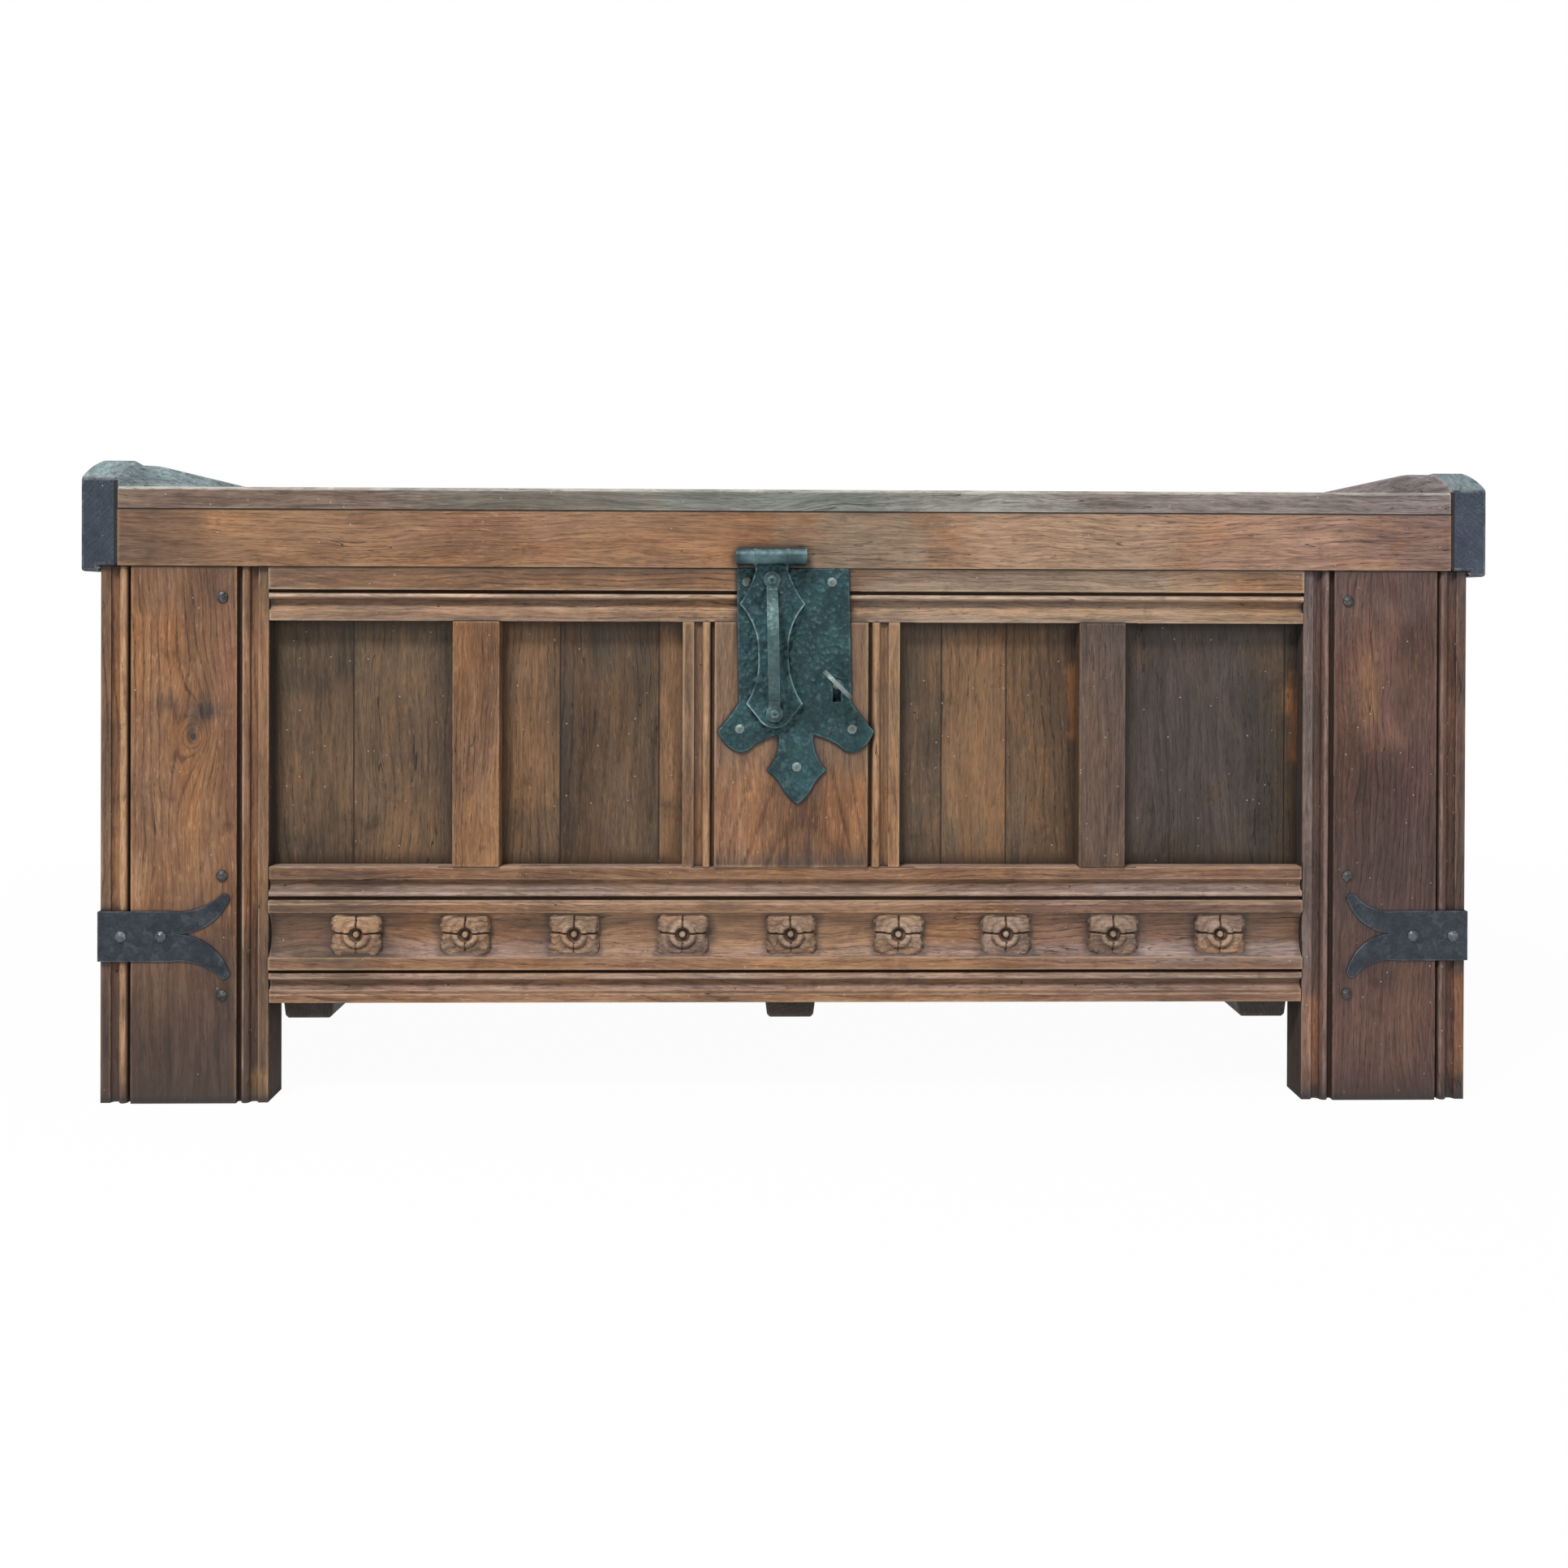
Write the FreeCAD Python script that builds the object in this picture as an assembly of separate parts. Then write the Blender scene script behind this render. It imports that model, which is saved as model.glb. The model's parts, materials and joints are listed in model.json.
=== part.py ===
import FreeCAD, Part
import math
import os

# Joined oak coffer: a framed chest on four legs with a lift-up lid, a hasp lock and iron fittings.
# Millimetres. +Z up, front faces -Y, origin on the floor at the centre of the overall box.

# ---------------------------------------------------------------- driving sizes: carcase
body_width = 1462.0
body_depth = 560.0
body_height = 571.0
front_thickness = 44.0
side_thickness = 30.0
rear_thickness = 34.0
set_out_shift = 2.0            # the middle pieces of the front stand this far right of centre

stile_width = 177.0
rear_stile_width = 120.0
top_rail_height = 57.4
bottom_rail_height = 145.5
leg_clearance = 106.0          # floor to the underside of the bottom rails
muntin_width = 49.7
centre_plank_width = 232.6
side_top_rail_height = 80.0
side_bottom_rail_height = 110.0
side_muntin_width = 60.0
rear_top_rail_height = 70.0
rear_muntin_width = 60.0

panel_thickness = 10.0
front_panel_recess = 20.0
side_panel_recess = 10.0
rear_panel_recess = 12.0
panel_tongue = 7.0             # how far a panel enters its groove
panel_play = 0.3

floor_thickness = 16.0
floor_board_count = 3
floor_play = 0.4
bearer_width = 54.0
bearer_height = 18.5
bearer_taper = 2.0             # each flank draws in by this much on its way down
bearer_bevel = 3.0
bearer_inset = 217.0           # end bearers' centres, in from the outer face of the side
bearer_set_back = 12.0         # bearer ends behind the front and rear faces

# ---------------------------------------------------------------- driving sizes: mouldings
fillet_drop = 2.5
fillet_step = 1.2              # the hollow starts this much deeper than the fillet beside it
hollow_depth = 6.8
bead_seat = 5.0
bead_crest = 0.6
quirk_depth = 7.0
stile_fillet_width = 10.6
hollow_width = 8.7
bead_width = 9.5
quirk_width = 4.0
plank_fillet_width = 12.0
rail_fillet_width = 11.4
lower_fillet_width = 13.7
rail_hollow_width = 11.2
rail_bead_width = 7.4
rail_quirk_width = 3.2
rail_band_width = 13.4         # plain bands that border the carved hollow
carved_hollow_depth = 10.0
carved_edge_step = 1.6         # crisp arris between a band and the carved hollow

rosette_count = 9
rosette_width = 53.0
rosette_height = 46.4
rosette_end_margin = 64.0
rosette_crown_drop = 1.0       # the petals' crown, behind the rail's face
rosette_crown_share = 0.55     # the crown's size, as a share of the flower's
rosette_edge_drop = 3.0
rosette_cut_width = 2.0
rosette_ring_radius = 13.5
rosette_ring_groove = 3.2
rosette_boss_radius = 4.0

# ---------------------------------------------------------------- driving sizes: lid
lid_gap = 0.3
lid_proud = 3.0
lid_side_clearance = 1.5
lip_thickness = 17.5
lip_drop = 6.3
batten_width = 38.0
apron_height = 60.0
apron_thickness = 22.0
apron_set_back = 1.2           # the front board's edge overhangs the apron
lid_board_thickness = 24.0
lid_board_count = 3
lid_edge_round = 4.0
crest_set_back = 48.0
dip_set_back = 70.0
shoulder_set_back = 125.0
nose_curve = (0.44, 0.57)      # point of the nose's curve: shares of its run and of its rise
shoulder_curve = (0.42, 0.60)
# Heights of a batten's back above the lid boards: nose, crest, dip, shoulder, middle. The pair differ.
left_batten_rises = (9.0, 31.8, 28.8, 32.5, 31.0)
right_batten_rises = (3.2, 25.6, 24.9, 31.0, 34.5)

# ---------------------------------------------------------------- driving sizes: rear hinges
knuckle_radius = 7.0
knuckle_gap = 0.4
hinge_pin_radius = 3.0
hinge_leaf_thickness = 3.0
hinge_width = 60.0
hinge_body_leaf_length = 72.0
hinge_lid_leaf_length = 44.0
hinge_nail_spacing = 30.0
body_leaf_nails = (0.4, 0.85)  # nail rows, as shares of the leaf's length
lid_leaf_nails = (0.65,)
hinge_inset = 262.0            # hinge centres, in from the outer face of the side
running_fit = 0.05
end_play = 0.3

# ---------------------------------------------------------------- driving sizes: nails
nail_head_radius = 6.0
nail_head_height = 3.2
nail_rim_share = 0.3           # height of a head's rim, as a share of the head's
nail_crown_share = 0.45        # radius of a head's flat crown, as a share of the head's
nail_shank = 4.0
nail_depth = 13.0
nail_play = 0.1
small_head_radius = 5.2
leg_nail_set_in = 129.0        # the legs' joint nails, in from the outer face
leg_nail_drops = (33.0, 329.0, 456.0)

# ---------------------------------------------------------------- driving sizes: corner straps
strap_thickness = 1.5
strap_height = 53.0
strap_centre_height = 177.9
strap_straight = 75.0
strap_reach_left = 136.0
strap_reach_right = 128.5
strap_flare = 19.0
strap_swell = (0.66, 0.4)      # outer edge of a horn: shares of its run and of the flare
strap_tip_width = 7.0
strap_tip_height = 9.0
strap_tip_crown = 1.4
strap_crotch = 82.0
strap_crotch_rise = 2.5
strap_horn_run = 0.63          # inner edges of the horns: share of the run at the widest bow
upper_horn_bow = 0.3           # share of the horn's height at that place
lower_horn_bow = 0.21
strap_nails_left = (23.0, 65.2)
strap_nails_right = (14.5, 58.1)

# ---------------------------------------------------------------- driving sizes: lock and hasp
iron_lean = 1.3                # degrees that the plate and the hasp lean off the vertical
plate_thickness = 3.0
plate_width = 120.0
plate_height = 251.8
plate_top_x = 3.0
plate_shoulder_drop = 143.5
plate_arm_reach = 23.5
plate_arm_drop = 30.0
# Points of the plate's outline. The arm's: shares of its reach and drop, from the plate's side and from the
# arm's shoulder or tip. The foot's: shares of half the plate's width and of the foot's length.
plate_arm_swell = (0.55, 0.60)
plate_arm_end = ((0.68, 0.43), (0.17, 0.72), (-0.21, 0.73), (-0.60, 0.52))
plate_sling = ((0.55, 0.11), (0.31, 0.05))
plate_foot = ((0.36, 0.34), (0.53, 0.54), (0.40, 0.62), (0.28, 0.75), (0.17, 0.88))
plate_nail_inset_left = 10.5
plate_nail_inset_right = 18.5
plate_nail_drop = 14.5
plate_arm_nail_drop = 28.0
plate_foot_nail_rise = 40.0

barrel_radius = 8.75
barrel_length = 74.6
barrel_height = 12.0           # barrel axis above the body's top
barrel_pin_radius = 3.5
barrel_x = -19.7
hasp_knuckle_length = 34.0
plate_head_height = 2.0
hasp_clearance = 0.4           # hasp's back to the lock plate's nail heads
hasp_joggle = 1.2              # the knuckle's back stands behind the hasp's back
hasp_thickness = 4.0
hasp_length = 182.3
hasp_neck = 35.0
hasp_neck_drop = 15.0
hasp_point_width = 70.4
hasp_point_drop = 50.0
hasp_waist = 32.6
hasp_foot_width = 60.4
hasp_foot_drop = 156.0
# Points of the hasp's outline, as shares of the widths and of the drops between which they lie.
hasp_shoulder_swell = (0.4, 0.66)
hasp_waist_swell = (0.26, 0.42)
hasp_chin = (0.6, 0.57)
hasp_tip_swell = (0.33, 0.89)
leaf_thickness = 3.0
leaf_flange_height = 40.0
leaf_nail_rise = 28.0
leaf_nail_spacing = 50.0

bail_width = 12.0
bail_thickness = 6.0
bail_rise = 30.0
bail_top_drop = 38.0           # the arch's ends, below the barrel's axis
bail_bottom_drop = 151.0
bail_foot_thickness = 3.0
bail_foot_radius = 9.0
rivet_top_drop = 24.6
rivet_bottom_drop = 166.4
rivet_shank_radius = 2.5

staple_below_key = 20.0        # centre of the staple's eye, below the key's axis
staple_width = 6.0
staple_bar = 3.0
staple_eye_height = 12.0
eye_behind_plate = 4.0
slot_play = 2.0
slot_drop = 2.0
slot_rise = 54.0               # room above the staple for its way up and out as the lid lifts

key_x = 50.5
key_drop = 123.0               # key's axis, below the body's top
key_shaft_radius = 3.5
key_bit_radius = 10.5
key_bit_thickness = 3.2
key_bit_length = 5.0
key_rest_turn = 45.0           # degrees that the bit stands from straight up, towards the staple
key_stand_off = 8.0
key_bow_width = 41.0
key_bow_depth = 30.0
key_bow_rim = 6.5
key_bow_thickness = 4.6
key_collar_radius = 5.2
key_collar_length = 3.0
keyhole_radius = 5.5
keyhole_slot_width = 8.6
keyhole_slot_depth = 19.2

bolt_throw = 14.0
bolt_thickness = 3.0
bolt_height = 8.2
bolt_above_key = 6.8
bolt_arm_width = 8.0
bolt_prong_length = 14.0
bolt_prong_height = 8.0
bolt_prong_lead = 1.6          # prong tip to staple while the lock is open
bolt_notch_width = 5.7
bolt_notch_wall = 2.6
bolt_play = 0.4
bolt_front_play = 0.6
bolt_layer_gap = 1.0
case_wall = 1.5
case_play = 0.4
case_guide_length = 18.0
key_end_room = 3.0             # hollow behind the case for the end of the key's shaft
key_end_play = 1.0

# ---------------------------------------------------------------- derived places
V = FreeCAD.Vector
half_width = body_width / 2
front_stand = max(lid_proud, plate_thickness + plate_head_height)
bail_reach = front_stand + hasp_clearance + hasp_thickness + bail_rise + bail_thickness
key_reach = plate_thickness + key_stand_off + key_bow_depth
front_reach = max(bail_reach, key_reach)
back_reach = knuckle_gap + 2 * knuckle_radius
front_y = front_reach - (body_depth + front_reach + back_reach) / 2
back_y = front_y + body_depth
front_inner_y = front_y + front_thickness
rear_inner_y = back_y - rear_thickness
side_inner_x = half_width - side_thickness

bottom_rail_top = leg_clearance + bottom_rail_height
top_rail_bottom = body_height - top_rail_height
stile_inner_x = half_width - stile_width
front_opening = 2 * stile_inner_x
plank_left = set_out_shift - centre_plank_width / 2
plank_right = set_out_shift + centre_plank_width / 2
muntin_left_x = (plank_left - stile_inner_x - muntin_width) / 2
muntin_right_x = (plank_right + stile_inner_x - muntin_width) / 2

lid_bottom = body_height + lid_gap
apron_top = lid_bottom + apron_height
lid_top = apron_top + lid_board_thickness
lid_front_y = front_y - lid_proud
lid_back_y = back_y
lid_half = half_width + lid_side_clearance + lip_thickness
lid_board_half = lid_half - batten_width

hinge_y = back_y + knuckle_gap + knuckle_radius
hinge_z = body_height + lid_gap / 2
hinge_x = half_width - hinge_inset

hasp_back_y = front_y - front_stand - hasp_clearance
hasp_front_y = hasp_back_y - hasp_thickness
barrel_y = hasp_back_y + hasp_joggle - barrel_radius
barrel_z = body_height + barrel_height
lean_slope = math.tan(math.radians(iron_lean))

key_height = body_height - key_drop
staple_z = key_height - staple_below_key
staple_x = barrel_x + (barrel_z - staple_z) * lean_slope
staple_back_y = front_y + eye_behind_plate + staple_bar
staple_half_height = staple_eye_height / 2 + staple_bar
slot_bottom = staple_z - staple_half_height - slot_drop
slot_top = staple_z + staple_half_height + slot_rise

bar_front_y = staple_back_y + bolt_layer_gap
bar_back_y = bar_front_y + bolt_thickness
bar_bottom = key_height + bolt_above_key
bar_top = bar_bottom + bolt_height
prong_tip_x = staple_x - staple_width / 2 - bolt_prong_lead
arm_right_x = prong_tip_x - bolt_prong_length
arm_left_x = arm_right_x - bolt_arm_width
prong_bottom = staple_z - bolt_prong_height / 2
prong_top = staple_z + bolt_prong_height / 2
prong_front_y = front_y + bolt_front_play
prong_back_y = front_y + eye_behind_plate - bolt_play
notch_x = key_x - bolt_throw / 2
bar_right_x = notch_x + bolt_notch_width / 2 + bolt_notch_wall
case_left = arm_left_x - case_play
case_right = bar_right_x + bolt_throw + case_play
case_bottom = slot_bottom - case_play
case_top = slot_top + case_play
case_back_y = bar_back_y + bolt_play


# ---------------------------------------------------------------- helpers
def block(x0, x1, y0, y1, z0, z1):
    return Part.makeBox(x1 - x0, y1 - y0, z1 - z0, V(x0, y0, z0))


def face_of(steps, place):
    """Closed face from steps: two numbers are a line's end, four are an arc's middle and its end."""
    edges = []
    here = steps[0]
    for step in list(steps[1:]) + [steps[0]]:
        end = step[-2:]
        if math.dist(here, end) < 1e-6:
            continue
        if len(step) == 4:
            edges.append(Part.Arc(place(*here), place(*step[:2]), place(*end)).toShape())
        else:
            edges.append(Part.LineSegment(place(*here), place(*end)).toShape())
        here = end
    return Part.Face(Part.Wire(edges))


def backwards(steps):
    """The same path from its end to its start."""
    path = [steps[-1][-2:]]
    for index in range(len(steps) - 1, 0, -1):
        path.append(steps[index][:-2] + steps[index - 1][-2:])
    return path


def with_across(steps, change):
    """The same steps with the first coordinate of every point changed."""
    return [tuple(change(c) if index % 2 == 0 else c for index, c in enumerate(step)) for step in steps]


def with_down(steps, change):
    """The same steps with the second coordinate of every point changed."""
    return [tuple(c if index % 2 == 0 else change(c) for index, c in enumerate(step)) for step in steps]


def mirrored(right_side):
    """Whole outline from its right half, given from the top centre line down to the bottom centre line."""
    return right_side + backwards(with_across(right_side, lambda c: -c))


def between(start, end, share):
    return start + share * (end - start)


def leaning(u, v, origin_x, origin_z, y):
    """Point of a leaning plate: u across and v down from an origin, drifting right as it goes down."""
    return V(origin_x + u + v * lean_slope, y, origin_z - v)


def front_plate(steps, y0, thickness, origin_x, origin_z):
    """Leaning plate seen from the front."""
    face = face_of(steps, lambda u, v: leaning(u, v, origin_x, origin_z, y0))
    return face.extrude(V(0, thickness, 0))


def moulded_steps(bands):
    """Steps along a moulded face: a band is its width and its depth at start, middle (or None) and end."""
    steps = []
    across = 0.0
    for width, start, middle, end in bands:
        steps.append((across, start))
        if middle is None:
            steps.append((across + width, end))
        else:
            steps.append((across + width / 2, middle, across + width, end))
        across += width
    return steps


def edge_bands(fillet_width, hollow, bead, quirk):
    """Edge moulding from the outside in: fillet, hollow, bead and quirk."""
    return [
        (fillet_width, fillet_drop, None, fillet_drop),
        (hollow, fillet_drop + fillet_step, hollow_depth, bead_seat),
        (bead, bead_seat, bead_crest, bead_seat),
        (quirk, quirk_depth, None, quirk_depth),
    ]


def turned_round(bands):
    return [(width, end, middle, start) for width, start, middle, end in reversed(bands)]


def plain_band(width):
    return (width, 0.0, None, 0.0)


def moulded_upright(left_x, width, bands, z0, z1):
    steps = moulded_steps(bands) + [(width, front_thickness), (0.0, front_thickness)]
    section = face_of(steps, lambda u, depth: V(left_x + u, front_y + depth, z0))
    return section.extrude(V(0, 0, z1 - z0))


def moulded_rail(top_z, height, bands):
    steps = moulded_steps(bands) + [(height, front_thickness), (0.0, front_thickness)]
    section = face_of(steps, lambda u, depth: V(-stile_inner_x, front_y + depth, top_z - u))
    return section.extrude(V(front_opening, 0, 0))


def octagon(radius, place):
    corners = [(radius * math.cos(math.pi * (k + 0.5) / 4), radius * math.sin(math.pi * (k + 0.5) / 4))
               for k in range(8)]
    points = [place(a, b) for a, b in corners]
    return Part.makePolygon(points + points[:1])


def nail_head(position, outward, radius, head_height=nail_head_height):
    """Eight-sided hammered head that sits on the surface."""
    across = V(0, 0, 1)
    along = outward.cross(across)

    def ring(size, height):
        return octagon(size, lambda a, b: position + along * a + across * b + outward * height)

    rim = nail_rim_share * head_height
    head_low = Part.makeLoft([ring(radius, 0.0), ring(radius, rim)], True, True)
    head_top = Part.makeLoft([ring(radius, rim), ring(nail_crown_share * radius, head_height)], True, True)
    return head_low.fuse(head_top).removeSplitter()


def nail(position, outward, radius, head_height=nail_head_height):
    """Hand-forged nail: a head and a square shank driven in."""
    head = nail_head(position, outward, radius, head_height)
    return head.fuse(shank(position, outward, nail_depth, 0.0))


def shank(position, outward, depth, play):
    """Square shank, or with play the hole for it."""
    half = nail_shank / 2 + play
    reach = [half if abs(c) < 0.5 else 0.0 for c in (outward.x, outward.y, outward.z)]
    inner = position - outward * (depth + play)
    low = V(*(min(p, q) - r for p, q, r in zip(position, inner, reach)))
    high = V(*(max(p, q) + r for p, q, r in zip(position, inner, reach)))
    return block(low.x, high.x, low.y, high.y, low.z, high.z)


def cylinder_x(x0, x1, y, z, radius):
    return Part.makeCylinder(radius, x1 - x0, V(x0, y, z), V(1, 0, 0))


def cylinder_y(x, y0, y1, z, radius):
    return Part.makeCylinder(radius, y1 - y0, V(x, y0, z), V(0, 1, 0))


def cut_all(shape, tools):
    for tool in tools:
        shape = shape.cut(tool)
    return shape


def grooved(member, panels):
    """A frame member with the grooves of the panels that enter it."""
    for box in panels:
        x0, x1, y0, y1, z0, z1 = box
        member = member.cut(block(x0 - panel_play, x1 + panel_play, y0 - panel_play, y1 + panel_play,
                                  z0 - panel_play, z1 + panel_play))
    return member


# ---------------------------------------------------------------- nails' places
FRONT = V(0, -1, 0)
BACK = V(0, 1, 0)


def leg_nail_places():
    places = []
    for side in (-1, 1):
        for drop in leg_nail_drops:
            places.append(V(side * (half_width - leg_nail_set_in), front_y, body_height - drop))
    return places


def plate_nail_places():
    half = plate_width / 2
    arm_drop = plate_shoulder_drop + plate_arm_nail_drop
    spots = [(plate_nail_inset_left - half, plate_nail_drop),
             (half - plate_nail_inset_right, plate_nail_drop),
             (-half, arm_drop), (half, arm_drop), (0.0, plate_height - plate_foot_nail_rise)]
    return [leaning(u, v, plate_top_x, body_height, front_y - plate_thickness) for u, v in spots]


def strap_nail_places(side):
    distances = strap_nails_left if side < 0 else strap_nails_right
    face_x = side * (half_width + strap_thickness)
    front = [(V(side * (half_width - s), front_y - strap_thickness, strap_centre_height), FRONT)
             for s in distances]
    flank = [(V(face_x, front_y + s, strap_centre_height), V(side, 0, 0)) for s in strap_nails_left]
    return front + flank


def hinge_nail_places():
    """Nails of the body leaves and of the lid leaves, as two lists."""
    face_y = back_y + hinge_leaf_thickness
    body_nails = []
    lid_nails = []
    for centre in (-hinge_x, hinge_x):
        for across in (-hinge_nail_spacing / 2, hinge_nail_spacing / 2):
            for share in body_leaf_nails:
                body_nails.append(V(centre + across, face_y, hinge_z - share * hinge_body_leaf_length))
            for share in lid_leaf_nails:
                lid_nails.append(V(centre + across, face_y, hinge_z + share * hinge_lid_leaf_length))
    return body_nails, lid_nails


def shank_holes(places, outward):
    return [shank(place, outward, nail_depth, nail_play) for place in places]


# ---------------------------------------------------------------- panels and frames
def panel_box(x0, x1, y0, y1, z0, z1, grows):
    """A panel's box: the opening it fills, grown by its tongues along x or y, and along z."""
    along_x, along_y = grows
    return (x0 - along_x * panel_tongue, x1 + along_x * panel_tongue,
            y0 - along_y * panel_tongue, y1 + along_y * panel_tongue,
            z0 - panel_tongue, z1 + panel_tongue)


def front_panel_boxes():
    y0 = front_y + front_panel_recess
    y1 = y0 + panel_thickness
    openings = [(-stile_inner_x, muntin_left_x), (muntin_left_x + muntin_width, plank_left),
                (plank_right, muntin_right_x), (muntin_right_x + muntin_width, stile_inner_x)]
    return [panel_box(x0, x1, y0, y1, bottom_rail_top, top_rail_bottom, (1, 0)) for x0, x1 in openings]


def rear_openings():
    inner = half_width - rear_stile_width
    pitch = (2 * inner + rear_muntin_width) / 3
    return [(-inner + k * pitch, -inner + (k + 1) * pitch - rear_muntin_width) for k in range(3)]


def rear_panel_boxes():
    y1 = back_y - rear_panel_recess
    y0 = y1 - panel_thickness
    z0 = leg_clearance + side_bottom_rail_height
    z1 = body_height - rear_top_rail_height
    return [panel_box(x0, x1, y0, y1, z0, z1, (1, 0)) for x0, x1 in rear_openings()]


def side_openings():
    middle = (front_inner_y + rear_inner_y) / 2
    return [(front_inner_y, middle - side_muntin_width / 2), (middle + side_muntin_width / 2, rear_inner_y)]


def side_panel_boxes(side):
    outer = half_width - side_panel_recess
    x0, x1 = sorted((side * outer, side * (outer - panel_thickness)))
    z0 = leg_clearance + side_bottom_rail_height
    z1 = body_height - side_top_rail_height
    return [panel_box(x0, x1, y0, y1, z0, z1, (0, 1)) for y0, y1 in side_openings()]


def front_stile(side):
    edge = edge_bands(stile_fillet_width, hollow_width, bead_width, quirk_width)
    edge_width = stile_fillet_width + hollow_width + bead_width + quirk_width
    bands = edge + [plain_band(stile_width - 2 * edge_width)] + turned_round(edge)
    left_x = -half_width if side < 0 else stile_inner_x
    stile = moulded_upright(left_x, stile_width, bands, 0.0, body_height)
    stile = grooved(stile, front_panel_boxes() + side_panel_boxes(side))
    own_nails = [place for place in leg_nail_places() if place.x * side > 0]
    stile = cut_all(stile, shank_holes(own_nails, FRONT))
    for place, outward in strap_nail_places(side):
        stile = stile.cut(shank(place, outward, nail_depth, nail_play))
    return stile


def top_front_rail():
    edge = edge_bands(rail_fillet_width, rail_hollow_width, rail_bead_width, rail_quirk_width)
    edge_width = rail_fillet_width + rail_hollow_width + rail_bead_width + rail_quirk_width
    bands = [plain_band(top_rail_height - edge_width)] + turned_round(edge)
    rail = grooved(moulded_rail(body_height, top_rail_height, bands), front_panel_boxes())
    return cut_all(rail, shank_holes(plate_nail_places(), FRONT) + [lock_pocket()])


def bottom_rail_bands():
    upper = edge_bands(lower_fillet_width, rail_hollow_width, rail_bead_width, rail_quirk_width)
    lower = turned_round(upper)
    edge_width = lower_fillet_width + rail_hollow_width + rail_bead_width + rail_quirk_width
    hollow = bottom_rail_height - 2 * (edge_width + rail_band_width)
    carved = (hollow, carved_edge_step, carved_hollow_depth, carved_edge_step)
    return upper + [plain_band(rail_band_width), carved, plain_band(rail_band_width)] + lower


def bottom_front_rail():
    rail = moulded_rail(bottom_rail_top, bottom_rail_height, bottom_rail_bands())
    return grooved(rail, front_panel_boxes())


def carved_rosettes():
    """Square four-petal flowers, each carved on a block that is scribed to the rail's hollow."""
    rail = moulded_rail(bottom_rail_top, bottom_rail_height, bottom_rail_bands())
    centre_z = leg_clearance + bottom_rail_height / 2
    span = front_opening - rosette_width - 2 * rosette_end_margin
    pitch = span / (rosette_count - 1)
    flower = one_rosette(centre_z).cut(rail)
    flowers = []
    for index in range(rosette_count):
        copy = flower.copy()
        copy.translate(V(set_out_shift - span / 2 + index * pitch, 0, 0))
        flowers.append(copy)
    return Part.makeCompound(flowers)


def one_rosette(centre_z):
    half_x = rosette_width / 2
    half_z = rosette_height / 2
    crown_y = front_y + rosette_crown_drop
    edge_y = front_y + rosette_edge_drop
    seat_y = front_y + carved_hollow_depth

    def frame(size, y):
        corners = ((-size, -size), (size, -size), (size, size), (-size, size), (-size, -size))
        return Part.makePolygon([V(a * half_x, y, centre_z + b * half_z) for a, b in corners])

    base = block(-half_x, half_x, edge_y, seat_y, centre_z - half_z, centre_z + half_z)
    flower = base.fuse(Part.makeLoft([frame(1.0, edge_y), frame(rosette_crown_share, crown_y)], True, True))
    cut = rosette_cut_width / 2
    flower = flower.cut(block(-cut, cut, front_y, edge_y, centre_z - half_z, centre_z + half_z))
    flower = flower.cut(block(-half_x, half_x, front_y, edge_y, centre_z - cut, centre_z + cut))
    disc = cylinder_y(0.0, crown_y, seat_y, centre_z, rosette_ring_radius)
    groove = cylinder_y(0.0, front_y, edge_y, centre_z, rosette_boss_radius + rosette_ring_groove)
    boss = cylinder_y(0.0, crown_y, seat_y, centre_z, rosette_boss_radius)
    return flower.fuse(disc).cut(groove).fuse(boss)


def muntin(left_x):
    post = block(left_x, left_x + muntin_width, front_y, front_inner_y, bottom_rail_top, top_rail_bottom)
    return grooved(post, front_panel_boxes())


def lock_pocket():
    """Room for the lock case, open at the plank's face."""
    return block(case_left - case_wall, case_right + case_wall, front_y, case_back_y + case_wall,
                 case_bottom - case_wall, case_top + case_wall)


def centre_plank():
    edge = edge_bands(plank_fillet_width, hollow_width, bead_width, quirk_width)
    edge_width = plank_fillet_width + hollow_width + bead_width + quirk_width
    bands = edge + [plain_band(centre_plank_width - 2 * edge_width)] + turned_round(edge)
    plank = moulded_upright(plank_left, centre_plank_width, bands, bottom_rail_top, top_rail_bottom)
    plank = grooved(plank, front_panel_boxes())
    end_room = cylinder_y(key_x, case_back_y, case_back_y + case_wall + key_end_room, key_height,
                          key_shaft_radius + key_end_play)
    return cut_all(plank, [lock_pocket(), end_room] + shank_holes(plate_nail_places(), FRONT))


def rear_stile(side):
    x0, x1 = sorted((side * half_width, side * (half_width - rear_stile_width)))
    post = block(x0, x1, rear_inner_y, back_y, 0.0, body_height)
    return grooved(post, rear_panel_boxes() + side_panel_boxes(side))


def rear_rail(z0, z1):
    inner = half_width - rear_stile_width
    rail = grooved(block(-inner, inner, rear_inner_y, back_y, z0, z1), rear_panel_boxes())
    return cut_all(rail, shank_holes(hinge_nail_places()[0], BACK))


def rear_muntin(index):
    x0 = rear_openings()[index][1]
    post = block(x0, x0 + rear_muntin_width, rear_inner_y, back_y,
                 leg_clearance + side_bottom_rail_height, body_height - rear_top_rail_height)
    return grooved(post, rear_panel_boxes())


def side_rail(side, z0, z1):
    x0, x1 = sorted((side * half_width, side * side_inner_x))
    rail = grooved(block(x0, x1, front_inner_y, rear_inner_y, z0, z1), side_panel_boxes(side))
    for place, outward in strap_nail_places(side):
        rail = rail.cut(shank(place, outward, nail_depth, nail_play))
    return rail


def side_muntin(side):
    x0, x1 = sorted((side * half_width, side * side_inner_x))
    y0 = side_openings()[0][1]
    post = block(x0, x1, y0, y0 + side_muntin_width, leg_clearance + side_bottom_rail_height,
                 body_height - side_top_rail_height)
    return grooved(post, side_panel_boxes(side))


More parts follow.
